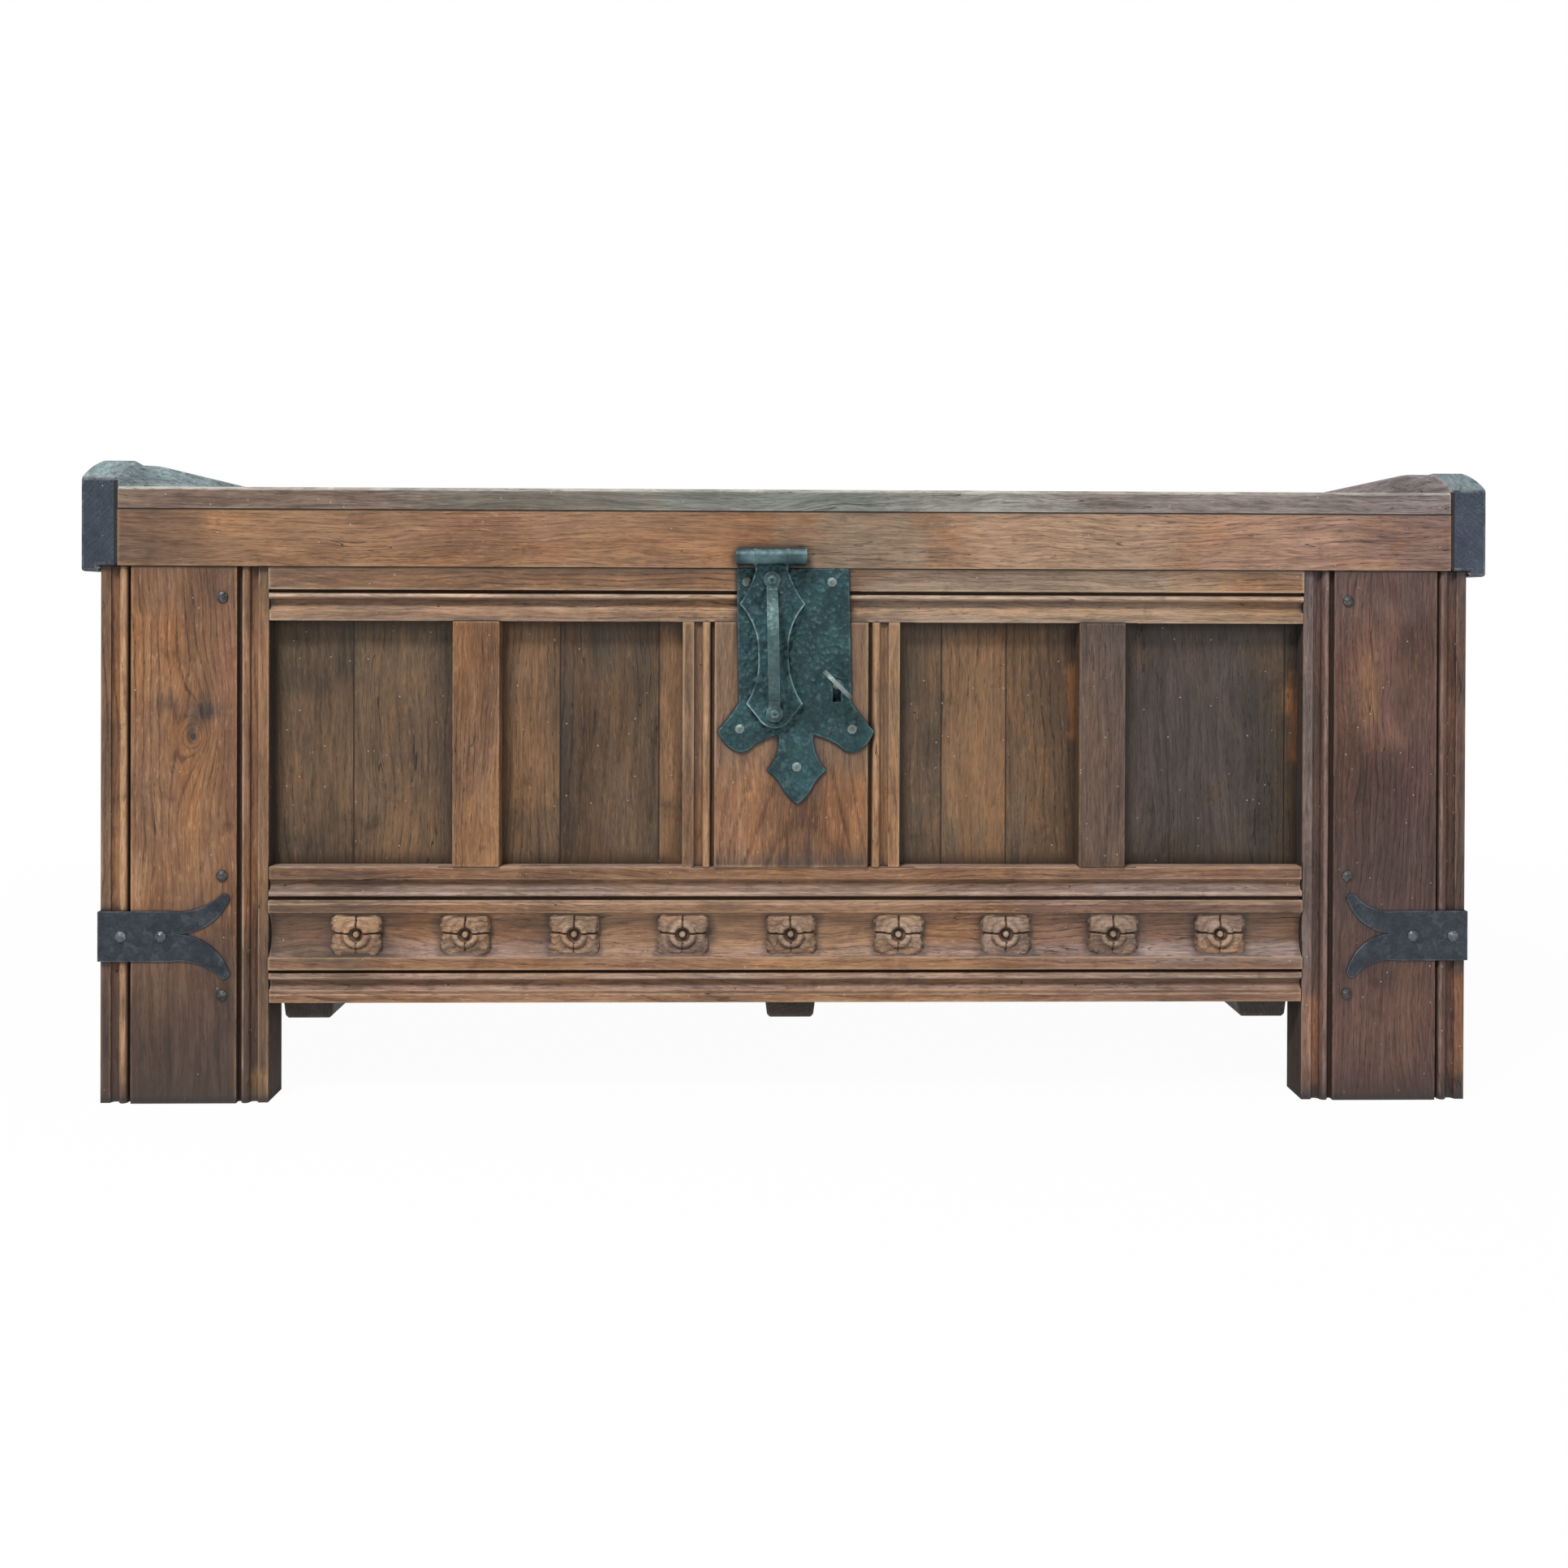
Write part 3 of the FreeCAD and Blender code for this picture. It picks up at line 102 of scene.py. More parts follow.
# Painted reflection on the left batten's top.
GREEN_GREY_SHEEN = (0.25, 0.32, 0.325)
PALE_VERDIGRIS = (0.64, 0.83, 0.89)
MAUVE_GREY = (0.37, 0.31, 0.305)
MAUVE = (0.16, 0.108, 0.1)
TEAL_GREY = (0.16, 0.185, 0.16)
PALE_GREY = (0.33, 0.34, 0.3)
STONE = (0.245, 0.205, 0.19)
HEATHER = (0.21, 0.168, 0.166)
OLIVE_GREY = (0.132, 0.118, 0.094)
UMBER_TAN = (0.165, 0.105, 0.08)
LID_EDGE = (0.42, 0.4, 0.355)
HONEY = (0.3, 0.17, 0.093)
DULL_HONEY = (0.24, 0.13, 0.066)
SMOKED_TAN = (0.235, 0.18, 0.125)
SMOKED_BROWN = (0.148, 0.108, 0.074)
PALE_TAN = (0.385, 0.262, 0.18)
SANDY = (0.315, 0.245, 0.182)
PINK_TAN = (0.36, 0.218, 0.16)
PLUM_TAN = (0.2, 0.124, 0.108)
ROSEWOOD = (0.215, 0.105, 0.076)
OCHRE = (0.3, 0.155, 0.07)
# Painted highlights on the crests of beads.
GOLD_HIGHLIGHT = (0.46, 0.27, 0.145)
GOLDEN_TAN = (0.325, 0.178, 0.084)
PALE_HIGHLIGHT = (0.5, 0.36, 0.265)
LILAC_HIGHLIGHT = (0.46, 0.35, 0.3)
ROSE_HIGHLIGHT = (0.27, 0.175, 0.15)
TAN_FILLET = (0.18, 0.106, 0.056)
# Grooves of the mouldings: dirt and painted shade.
HOLLOW_DIRT_AND_SHADE = (0.11, 0.052, 0.026)
COVE_SHADE = (0.12, 0.07, 0.044)
# A dimmer painted sheen on the carved rail's bead.
DIM_LILAC_SHEEN = (0.235, 0.175, 0.15)
SMOKY = (0.06, 0.048, 0.042)
BLUE_SMOKE = (0.05, 0.049, 0.053)
DARK_PLUM = (0.066, 0.04, 0.035)
PLUM = (0.074, 0.054, 0.05)
PLUM_STONE = (0.125, 0.095, 0.092)
# Painted reflection on the right batten's top.
DULL_GREEN_GREY_SHEEN = (0.19, 0.24, 0.255)
# Painted sky reflection on upward faces and bands of the carved rail.
LILAC_SHEEN = (0.36, 0.29, 0.27)
BLACKENED = (0.045, 0.027, 0.019)
BARE_YELLOW = (0.42, 0.24, 0.09)
BARE_ORANGE = (0.36, 0.145, 0.05)
IRON_TEAL = ((0.01, 0.036, 0.042), (0.042, 0.12, 0.132), (0.13, 0.24, 0.25))
IRON_HASP = ((0.008, 0.034, 0.043), (0.034, 0.112, 0.126), (0.31, 0.46, 0.47))
IRON_BAIL = ((0.045, 0.088, 0.092), (0.13, 0.215, 0.22), (0.34, 0.46, 0.46))
IRON_SLATE = ((0.02, 0.027, 0.037), (0.062, 0.077, 0.098), (0.2, 0.22, 0.25))
IRON_NAIL = ((0.075, 0.088, 0.1), (0.2, 0.23, 0.255), (0.42, 0.46, 0.48))
IRON_LOCK_NAIL = ((0.09, 0.135, 0.13), (0.27, 0.34, 0.32), (0.5, 0.56, 0.52))
IRON_LEG_NAIL = ((0.028, 0.028, 0.028), (0.12, 0.112, 0.105), (0.3, 0.28, 0.26))
IRON_KEY = ((0.14, 0.19, 0.185), (0.36, 0.44, 0.42), (0.62, 0.66, 0.62))
RUST = (0.105, 0.048, 0.024)
WHITE = (1.0, 1.0, 1.0)


# ---- node helpers
X, Y, Z = range(3)


def rgba(colour):
    """The colour with full alpha. A node's output passes as it is."""
    return colour if isinstance(colour, bpy.types.NodeSocket) else (*colour, 1.0)


def scaled(colour, factor):
    return tuple(factor * c for c in colour)


class Graph:
    """The node tree of a material or world, and short ways to add nodes. Most return the node's output."""

    def __init__(self, owner):
        self.owner = owner
        self.colour = (0.0, 0.0, 0.0)
        owner.use_nodes = True
        self.tree = owner.node_tree
        self.tree.nodes.clear()

    def node(self, kind, inputs, **settings):
        made = self.tree.nodes.new("ShaderNode" + kind)
        for key, value in settings.items():
            setattr(made, key, value)
        for key, value in inputs.items():
            if isinstance(value, bpy.types.NodeSocket):
                self.tree.links.new(value, made.inputs[key])
            else:
                made.inputs[key].default_value = value
        return made

    def out(self, kind, inputs, **settings):
        return self.node(kind, inputs, **settings).outputs[0]

    def math(self, operation, first, *others):
        """The operation over all the values, from the left."""
        for value in others or (0.0,):
            first = self.out("Math", {0: first, 1: value}, operation=operation)
        return first

    def add(self, *values):
        return self.math("ADD", *values)

    def times(self, *values):
        return self.math("MULTIPLY", *values)

    def larger(self, *values):
        return self.math("MAXIMUM", *values)

    def wobble(self, field, size):
        """A field that runs from 0 to 1, centred on 0 and drawn out to the size."""
        return self.times(self.add(field, -0.5), size)

    def away(self, value, middle):
        """Distance of the value from the middle."""
        return self.math("ABSOLUTE", self.add(value, -middle))

    def length(self, a, b):
        return self.math("SQRT", self.add(self.times(a, a), self.times(b, b)))

    def between(self, value, low, high):
        return self.times(self.math("GREATER_THAN", value, low), self.math("LESS_THAN", value, high))

    def vector(self, x, y, z):
        return self.out("CombineXYZ", {0: x, 1: y, 2: z})

    def split(self, vector):
        return self.node("SeparateXYZ", {0: vector}).outputs

    def coordinates(self, kind):
        return self.node("TexCoord", {}).outputs[kind]

    def noise(self, where, scale=1.0, detail=2.0, rough=0.5):
        inputs = {"Vector": where, "Scale": scale, "Detail": detail, "Roughness": rough}
        return self.out("TexNoise", inputs)

    def cells(self, where, scale, feature="F1", **inputs):
        return self.node("TexVoronoi", {"Vector": where, "Scale": scale, **inputs}, feature=feature)

    def attribute(self, name):
        return self.node("Attribute", {}, attribute_name=name).outputs["Fac"]

    def openness(self, distance, samples=8, **settings):
        made = self.node("AmbientOcclusion", {"Distance": distance}, samples=samples, **settings)
        return made.outputs["AO"]

    def remap(self, value, low, high, out_low=0.0, out_high=1.0):
        """Smooth step between the limits. Limits given high to low run the other way."""
        if low > high:
            low, high, out_low, out_high = high, low, out_high, out_low
        inputs = {0: value, 1: low, 2: high, 3: out_low, 4: out_high}
        return self.out("MapRange", inputs, interpolation_type="SMOOTHSTEP")

    def mix(self, factor, a, b, blend="MIX"):
        inputs = {0: factor, 6: rgba(a), 7: rgba(b)}
        return self.node("Mix", inputs, data_type="RGBA", blend_type=blend).outputs[2]

    def paint(self, amount, colour, blend="MIX"):
        """Lays a colour over the material's own by the amount."""
        self.colour = self.mix(amount, self.colour, colour, blend)

    def ramp(self, value, colours):
        """Colours spread evenly from 0 to 1."""
        made = self.node("ValToRGB", {0: value})
        stops = made.color_ramp.elements
        while len(stops) < len(colours):
            stops.new(0.5)
        for index, colour in enumerate(colours):
            stops[index].position = index / (len(colours) - 1)
            stops[index].color = rgba(colour)
        return made.outputs[0]

    def speckle(self, point, scale, size, share, channel):
        """Small round marks scattered in the given share of cells."""
        dots = self.cells(point, scale)
        pick = self.split(dots.outputs["Color"])[channel]
        near = self.remap(dots.outputs["Distance"], size, 0.3 * size)
        return self.times(near, self.math("GREATER_THAN", pick, 1.0 - share))

    def outside(self, place, middle, half):
        """Distance outside a rectangle in the x-z plane."""
        dx = self.larger(self.add(self.away(place[X], middle[0]), -half[0]), 0.0)
        dz = self.larger(self.add(self.away(place[Z], middle[1]), -half[1]), 0.0)
        return self.length(dx, dz)

    def bump(self, strength, distance, height):
        inputs = {"Strength": strength, "Distance": distance, "Height": height}
        return self.out("Bump", inputs)

    def finish(self, **inputs):
        shader = self.node("BsdfPrincipled", {k.replace("_", " "): v for k, v in inputs.items()})
        self.node("OutputMaterial", {0: shader.outputs[0]})
        return self.owner


# ---- oak
BOARD_STEP = 3.1
BOARD_ASIDE = 0.07
KNOT_PULL = -0.62
KNOT_RINGS = 2.6
SEAM_EDGE = 0.0012
SEAM_CORE = 0.0003
FOOT_RISE = 0.055
CREST_REACH = 0.004
DIRT_AND_SHADE_REACH = 0.011
RIM_START = -0.024
RIM_FULL = -0.004
WOOD_RELIEF = 0.0006


class Oak(Graph):
    """Old waxed oak, its colour built in layers: figure, tints, marks, wear, dirt, painted light and shade.
    """

    def __init__(self, name, tone, along, seed, boards, board_axis):
        super().__init__(bpy.data.materials.new(name))
        chance = random.Random(seed)
        self.dark, self.mid, self.light, self.stain, self.worn_and_lit = tone
        self.boards = boards
        self.aside = chance.uniform(-0.05, 0.05)
        self.shift = [chance.uniform(1, 9) for _ in range(3)]
        self.point = self.coordinates("Object")
        self.turned = self.split(self.coordinates("Normal"))
        self.place = self.split(self.point)
        self.joint_place = self.place[board_axis]
        self.cloud = self.noise(self.point, 24.0, 4.0, 0.6)
        order = {"x": (X, Z, Y), "y": (Y, X, Z), "z": (Z, X, Y)}[along]
        self.u, self.v, self.w = (self.add(self.place[i], s) for i, s in zip(order, self.shift))
        self.count = 0.0
        for edge in boards:
            self.count = self.add(self.count, self.past(edge))
        self.u = self.add(self.u, self.times(self.count, BOARD_STEP))

    def past(self, edge):
        """1 on the boards beyond this joint."""
        return self.math("GREATER_THAN", self.joint_place, edge)

    def streaks(self, along, across, detail=3.0, rough=0.5, side=None):
        """Noise drawn out along the grain. along and across are how often it changes in a metre, and side
        is the place across the grain where that is bent."""
        side = self.v if side is None else side
        where = self.vector(self.times(self.u, along), self.times(side, across), self.times(self.w, across))
        return self.noise(where, detail=detail, rough=rough)

    def knot_fields(self, knots):
        """Push of the grain, ring phase and darkness round knots: (x, z, half length, half width, depth)."""
        push, phase, dark = 0.0, 0.0, 0.0
        for x, z, length, width, blackness in knots:
            dx = self.add(self.place[X], -x)
            dz = self.math("DIVIDE", self.add(self.place[Z], -z), length)
            across = self.math("DIVIDE", dx, width)
            away = self.add(self.times(across, across), self.times(dz, dz))
            swelling = self.math("POWER", e, self.times(away, -1.0))
            core = self.math("POWER", e, self.times(away, -12.0))
            push = self.add(push, self.times(dx, swelling, KNOT_PULL))
            phase = self.add(phase, self.times(swelling, KNOT_RINGS))
            dark = self.add(dark, self.times(core, blackness))
        return push, phase, dark

    def figure(self, heart, tilt, ring, ring_power, grain, knots, board_tones):
        """Growth rings, fibres, rays and pores. heart is how deep the tree's centre lies behind the face:
        small gives arched grain. grain is the fibres' contrast. board_tones is how much lighter each board
        is than the one before."""
        self.slow = self.streaks(1.8, 7.0)
        push, phase, self.knot_dark = self.knot_fields(knots)
        across = self.add(
            self.v, -self.shift[1] - self.aside, self.times(self.count, BOARD_ASIDE),
            self.wobble(self.slow, 0.055), self.wobble(self.streaks(9.0, 40.0), 0.007),
            self.wobble(self.streaks(5.5, 13.0), 0.022), push)
        sway = self.times(self.math("SINE", self.times(self.u, 2.2)), tilt)
        radius = self.length(across, self.add(self.w, heart - self.shift[2], sway))
        saw = self.math("FRACT", self.add(self.math("DIVIDE", radius, ring), phase))
        strength = self.remap(self.noise(self.vector(self.u, self.v, self.w), 6.0), 0.35, 0.7, 0.3, 1.0)
        self.rings = self.times(self.larger(self.remap(saw, 0.26, 0.0), self.remap(saw, 0.86, 1.0)), strength)
        self.fibres(across)
        self.blotch = self.streaks(7.0, 17.0, 5.0, 0.62)
        rays = self.remap(self.streaks(90.0, 330.0, 1.0), 0.6, 0.72)
        level = self.add(
            0.5, self.times(self.rings, -ring_power), self.wobble(self.coarse, 0.85 * grain),
            self.wobble(self.fine, 1.25 * grain), self.wobble(self.slow, 0.9),
            self.wobble(self.blotch, 1.2), self.times(rays, 0.22))
        for edge, step in zip(self.boards, board_tones):
            level = self.add(level, self.times(self.past(edge), step))
        self.colour = self.ramp(level, [self.dark, self.mid, self.light])

    def fibres(self, side):
        """Fibres at two scales, open pores and drying cracks, which follow the rings' bend."""
        self.coarse = self.streaks(13.0, 170.0, 4.0, 0.6, side)
        self.fine = self.streaks(42.0, 700.0, 3.0, 0.6, side)
        opened = self.remap(self.streaks(105.0, 1150.0, 1.0, side=side), 0.56, 0.66)
        self.pores = self.times(opened, self.add(self.times(self.rings, 0.7), 0.3))
        split = self.remap(self.away(self.streaks(4.0, 95.0, 2.0, side=side), 0.5), 0.0045, 0.0012)
        self.cracks = self.times(split, self.remap(self.streaks(3.0, 30.0), 0.56, 0.62))

    def tinted(self, golden, cool, patina, dark_ramps):
        """Golden and cooler stretches, then dark stains in patches and darker ramps along an axis. dark_ramps
        are (axis, clear at, dark at, amount).
        """
        warm = self.streaks(4.0, 17.0, 5.0, 0.6)
        self.paint(self.remap(warm, 0.44, 0.64, 0.0, golden), GOLDEN, "MULTIPLY")
        self.paint(self.remap(warm, 0.54, 0.34, 0.0, 0.8), cool, "MULTIPLY")
        patch = self.streaks(3.2, 7.5, 6.0, 0.66)
        stain = self.remap(patch, 0.46, 0.7, 0.0, patina)
        for axis, clear, full, amount in dark_ramps:
            ragged = self.add(self.place[axis], self.wobble(patch, 0.45 * abs(full - clear) + 0.1))
            stain = self.larger(stain, self.remap(ragged, clear, full, 0.0, amount))
        tones = scaled(self.stain, 0.72), scaled(self.stain, 1.35)
        self.paint(stain, self.mix(self.remap(self.coarse, 0.35, 0.65), *tones))

    def fibrous(self, tint):
        """The tint with the grain showing through."""
        grain = self.add(self.times(self.coarse, 0.55), self.times(self.fine, 0.45))
        return self.mix(self.remap(grain, 0.36, 0.64), scaled(tint, 0.6), scaled(tint, 1.38))

    def faced(self, facing):
        """facing are (axis, from, to, amount, colour): faces turned that way take on the colour and are
        matt."""
        self.matt = 0.0
        for axis, start, full, amount, tint in facing:
            uneven = self.remap(self.blotch, 0.3, 0.6, 0.7 * amount, amount)
            seen = self.times(self.remap(self.turned[axis], start, full), uneven)
            self.matt = self.larger(self.matt, seen)
            self.paint(seen, self.fibrous(tint))

    def patched(self, patches):
        """Soft-edged coloured patches on the front: (x, z, half width, half height, fade, amount, colour)."""
        ahead = self.remap(self.turned[Y], -0.1, -0.45)
        for x, z, half_x, half_z, fade, amount, tint in patches:
            gap = self.add(self.outside(self.place, (x, z), (half_x, half_z)),
                           self.wobble(self.cloud, 1.6 * fade), self.wobble(self.coarse, 0.8 * fade))
            self.paint(self.times(self.remap(gap, fade, 0.0, 0.0, amount), ahead), self.fibrous(tint))

    def light_and_shade_lines(self, lines):
        """Painted highlights on the crests, dirt and painted shade in the hollows, and bands of tone along
        mouldings on the front: (axis, place, half width, fade, amount, colour)."""
        ahead = self.remap(self.turned[Y], -0.02, -0.2)
        ragged = self.wobble(self.blotch, 0.0012)
        broken = self.remap(self.cloud, 0.34, 0.58, 0.5, 1.0)
        for axis, place, half, fade, amount, tint in lines:
            gap = self.add(self.away(self.place[axis], place), -half, ragged)
            seen = self.times(self.remap(gap, fade, 0.0, 0.0, amount), broken, ahead)
            self.paint(seen, self.fibrous(tint))

    def marked(self, specks):
        """Pores, cracks, joints between boards, knots, bruises, pale specks and small dents."""
        self.paint(self.times(self.pores, 0.8), scaled(self.dark, 0.4))
        self.paint(self.times(self.cracks, 0.85), GRIME_AND_SHADE)
        self.seams = 0.0
        for edge in self.boards:
            near = self.remap(self.away(self.joint_place, edge), SEAM_EDGE, SEAM_CORE)
            self.seams = self.add(self.seams, near)
        self.paint(self.times(self.seams, 0.85), GRIME_AND_SHADE)
        broken = self.times(self.knot_dark, self.remap(self.fine, 0.3, 0.6, 0.55, 1.0))
        self.paint(self.math("MINIMUM", broken, 0.92), SOOT_AND_SHADE)
        self.bruise = self.noise(self.point, 26.0, 4.0, 0.65)
        self.paint(self.remap(self.bruise, 0.58, 0.74, 0.0, 0.55), self.dark)
        dots = self.speckle(self.point, 150.0, 0.16, specks, 0)
        self.paint(self.times(dots, 0.62), PALE_SPECK)
        self.dents = self.speckle(self.point, 70.0, 0.12, 0.06, 1)
        self.paint(self.times(self.dents, 0.8), GRIME_AND_SHADE)

    def rubbed_and_highlit(self, foot, rub, crest_wear_and_highlight):
        """Edges rubbed down to bare wood, crests of the mouldings worn and given a painted highlight, darker
        feet.
        """
        if foot:
            rise = self.add(self.place[Z], self.wobble(self.bruise, 0.09))
            self.paint(self.remap(rise, FOOT_RISE, 0.0, 0.0, 0.75 * foot), self.stain)
        broken = self.remap(self.noise(self.point, 45.0, 5.0, 0.72), 0.4, 0.62, 0.05, 1.0)
        edge = self.times(self.attribute("wear_and_highlight"), broken, rub)
        # Crests of beads and other thin convex parts: wear, and a painted highlight in the bare wood's
        # colour.
        worn_lit_crests = self.remap(self.openness(CREST_REACH, only_local=True, inside=True), 0.95, 0.7, 0.0, crest_wear_and_highlight)
        worn_lit_crests = self.times(worn_lit_crests, self.remap(self.blotch, 0.4, 0.6, 0.25, 1.0))
        self.paint(self.larger(edge, worn_lit_crests), self.worn_and_lit)

    def dirtied_and_shaded(self, rim, contact_shade, halo):
        """Dirt and painted shade: both darken inside the rim, which is a box (low, high), and the joints and
        hollows. Dirt lies beside the carved flowers, and, by the contact_shade share, painted shade lies
        close to whatever stands on the wood."""
        # Painted shade and dirt: darker towards the rim's edges, where the panel meets the frame.
        if rim:
            low, high = rim
            gaps = [self.add(self.away(self.place[i], (low[i] + high[i]) / 2.0), (low[i] - high[i]) / 2.0)
                    for i in (X, Z)]
            depth = self.add(self.larger(*gaps), self.wobble(self.blotch, 0.02))
            self.paint(self.remap(depth, RIM_START, RIM_FULL, 0.0, 0.72), scaled(self.dark, 0.8))
        if halo:
            self.paint(self.flower_halo(*halo), SOOT_AND_SHADE)
        # Dark joints, with painted shade lines where pieces meet and the painted shade marked on the carved
        # flowers.
        self.paint(self.times(self.attribute("joint"), 0.88), GRIME_AND_SHADE)
        # Painted shade and dirt in hollows, from how open each point is; painted contact shade where other
        # pieces stand close.
        own = self.openness(DIRT_AND_SHADE_REACH, 10, only_local=True)
        if contact_shade:
            shaded_by_others = self.math("SUBTRACT", own, self.openness(DIRT_AND_SHADE_REACH, 10))
            self.paint(self.remap(shaded_by_others, 0.02, 0.26, 0.0, contact_shade), SOOT_AND_SHADE)
        self.dirt_and_shade = self.remap(own, 0.86, 0.3)
        self.paint(self.times(self.dirt_and_shade, 0.92), self.mix(self.dirt_and_shade, self.dark, DEEP_DIRT_AND_SHADE))

    def flower_halo(self, first, pitch, half_wide, low, high):
        """Dark patina in the cove beside flowers that stand a pitch apart."""
        turns = self.add(self.math("DIVIDE", self.add(self.place[X], -first), pitch), 0.5)
        aside = self.times(self.away(self.math("FRACT", turns), 0.5), pitch)
        aside = self.add(aside, self.wobble(self.bruise, 0.03))
        near = self.remap(aside, half_wide + 0.01, half_wide - 0.002, 0.0, 0.58)
        return self.times(near, self.between(self.place[Z], low, high))

    def polished(self):
        """Closes the material: relief from all the layers, and a waxed sheen."""
        relief = ((self.coarse, 0.35), (self.fine, 0.25), (self.pores, -0.5), (self.rings, -0.22),
                  (self.cracks, -1.2), (self.noise(self.point, 20.0, 3.0), 0.9), (self.dents, -1.2),
                  (self.seams, -1.0))
        height = self.add(0.0, *(self.times(field, power) for field, power in relief))
        wax = self.remap(self.noise(self.point, 9.0, 4.0, 0.6), 0.3, 0.7, 0.46, 0.64)
        dull = self.times(self.larger(self.dirt_and_shade, self.matt), 0.38)
        return self.finish(Base_Color=self.colour, Roughness=self.add(wax, dull),
                           Normal=self.bump(0.9, WOOD_RELIEF, height), IOR=1.45)


MM = 0.001


def share_of(node, axis, share):
    """The place at a share of a node's size along the axis."""
    low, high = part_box(node)
    return low[axis] + share * (high[axis] - low[axis])


def patches_on(node, rows):
    """Patches placed by shares of a node's width and height, with their own sizes in millimetres:
    (share across, share up, half width, half height, fade, amount, colour)."""
    return [(share_of(node, X, across), share_of(node, Z, up), *(MM * size for size in sizes), amount, tint)
            for across, up, *sizes, amount, tint in rows]


def lines_on(node, axis, rows):
    """Lines along a moulding, in millimetres from the low side of a node's box: (rise, half width, fade,
    amount, colour)."""
    return [(axis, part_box(node)[0][axis] + MM * rise, MM * half, MM * fade, amount, tint)
            for rise, half, fade, amount, tint in rows]


def oak(name, tone, along, seed, on=None, heart=0.05, tilt=0.05, ring=0.0045, ring_power=0.36, grain=0.7,
        knots=(), boards=(), board_axis=X, board_tones=(), golden=0.5, cool=ROSY, patina=0.5, dark_ramps=(),
        facing=(), patches=(), lines=(), specks=0.035, foot=0.0, rub=0.55, crest_wear_and_highlight=0.22, rim=False,
        contact_shade=0.0, halo=None, lift=1.0):
    """An oak finish. on is the node that patches, lines, boards and rim are measured on: boards are the
    shares of it where boards meet. lift brightens or darkens all the colours. rim paints shade and dirt
    round the edges, contact_shade paints shade close to whatever stands on the wood, and
    crest_wear_and_highlight wears the crests pale with a painted highlight."""
    edges = [share_of(on, board_axis, share) for share in boards]
    wood = Oak(name, [scaled(colour, lift) for colour in tone], along, seed, edges, board_axis)
    wood.figure(heart, tilt, ring, ring_power, grain, knots, board_tones)
    wood.tinted(golden, cool, patina, dark_ramps)
    wood.faced(facing)
    wood.patched(patches_on(on, patches))
    wood.light_and_shade_lines(lines_on(on, X if along == "z" else Z, lines))
    wood.marked(specks)
    wood.rubbed_and_highlit(foot, rub, crest_wear_and_highlight)
    wood.dirtied_and_shaded(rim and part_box(on), contact_shade, halo)
    return wood.polished()


# ---- iron
CORNER_REACH = 0.006
SHADE_REACH = 0.01
DARK_END = 0.008
WANDER = 0.006


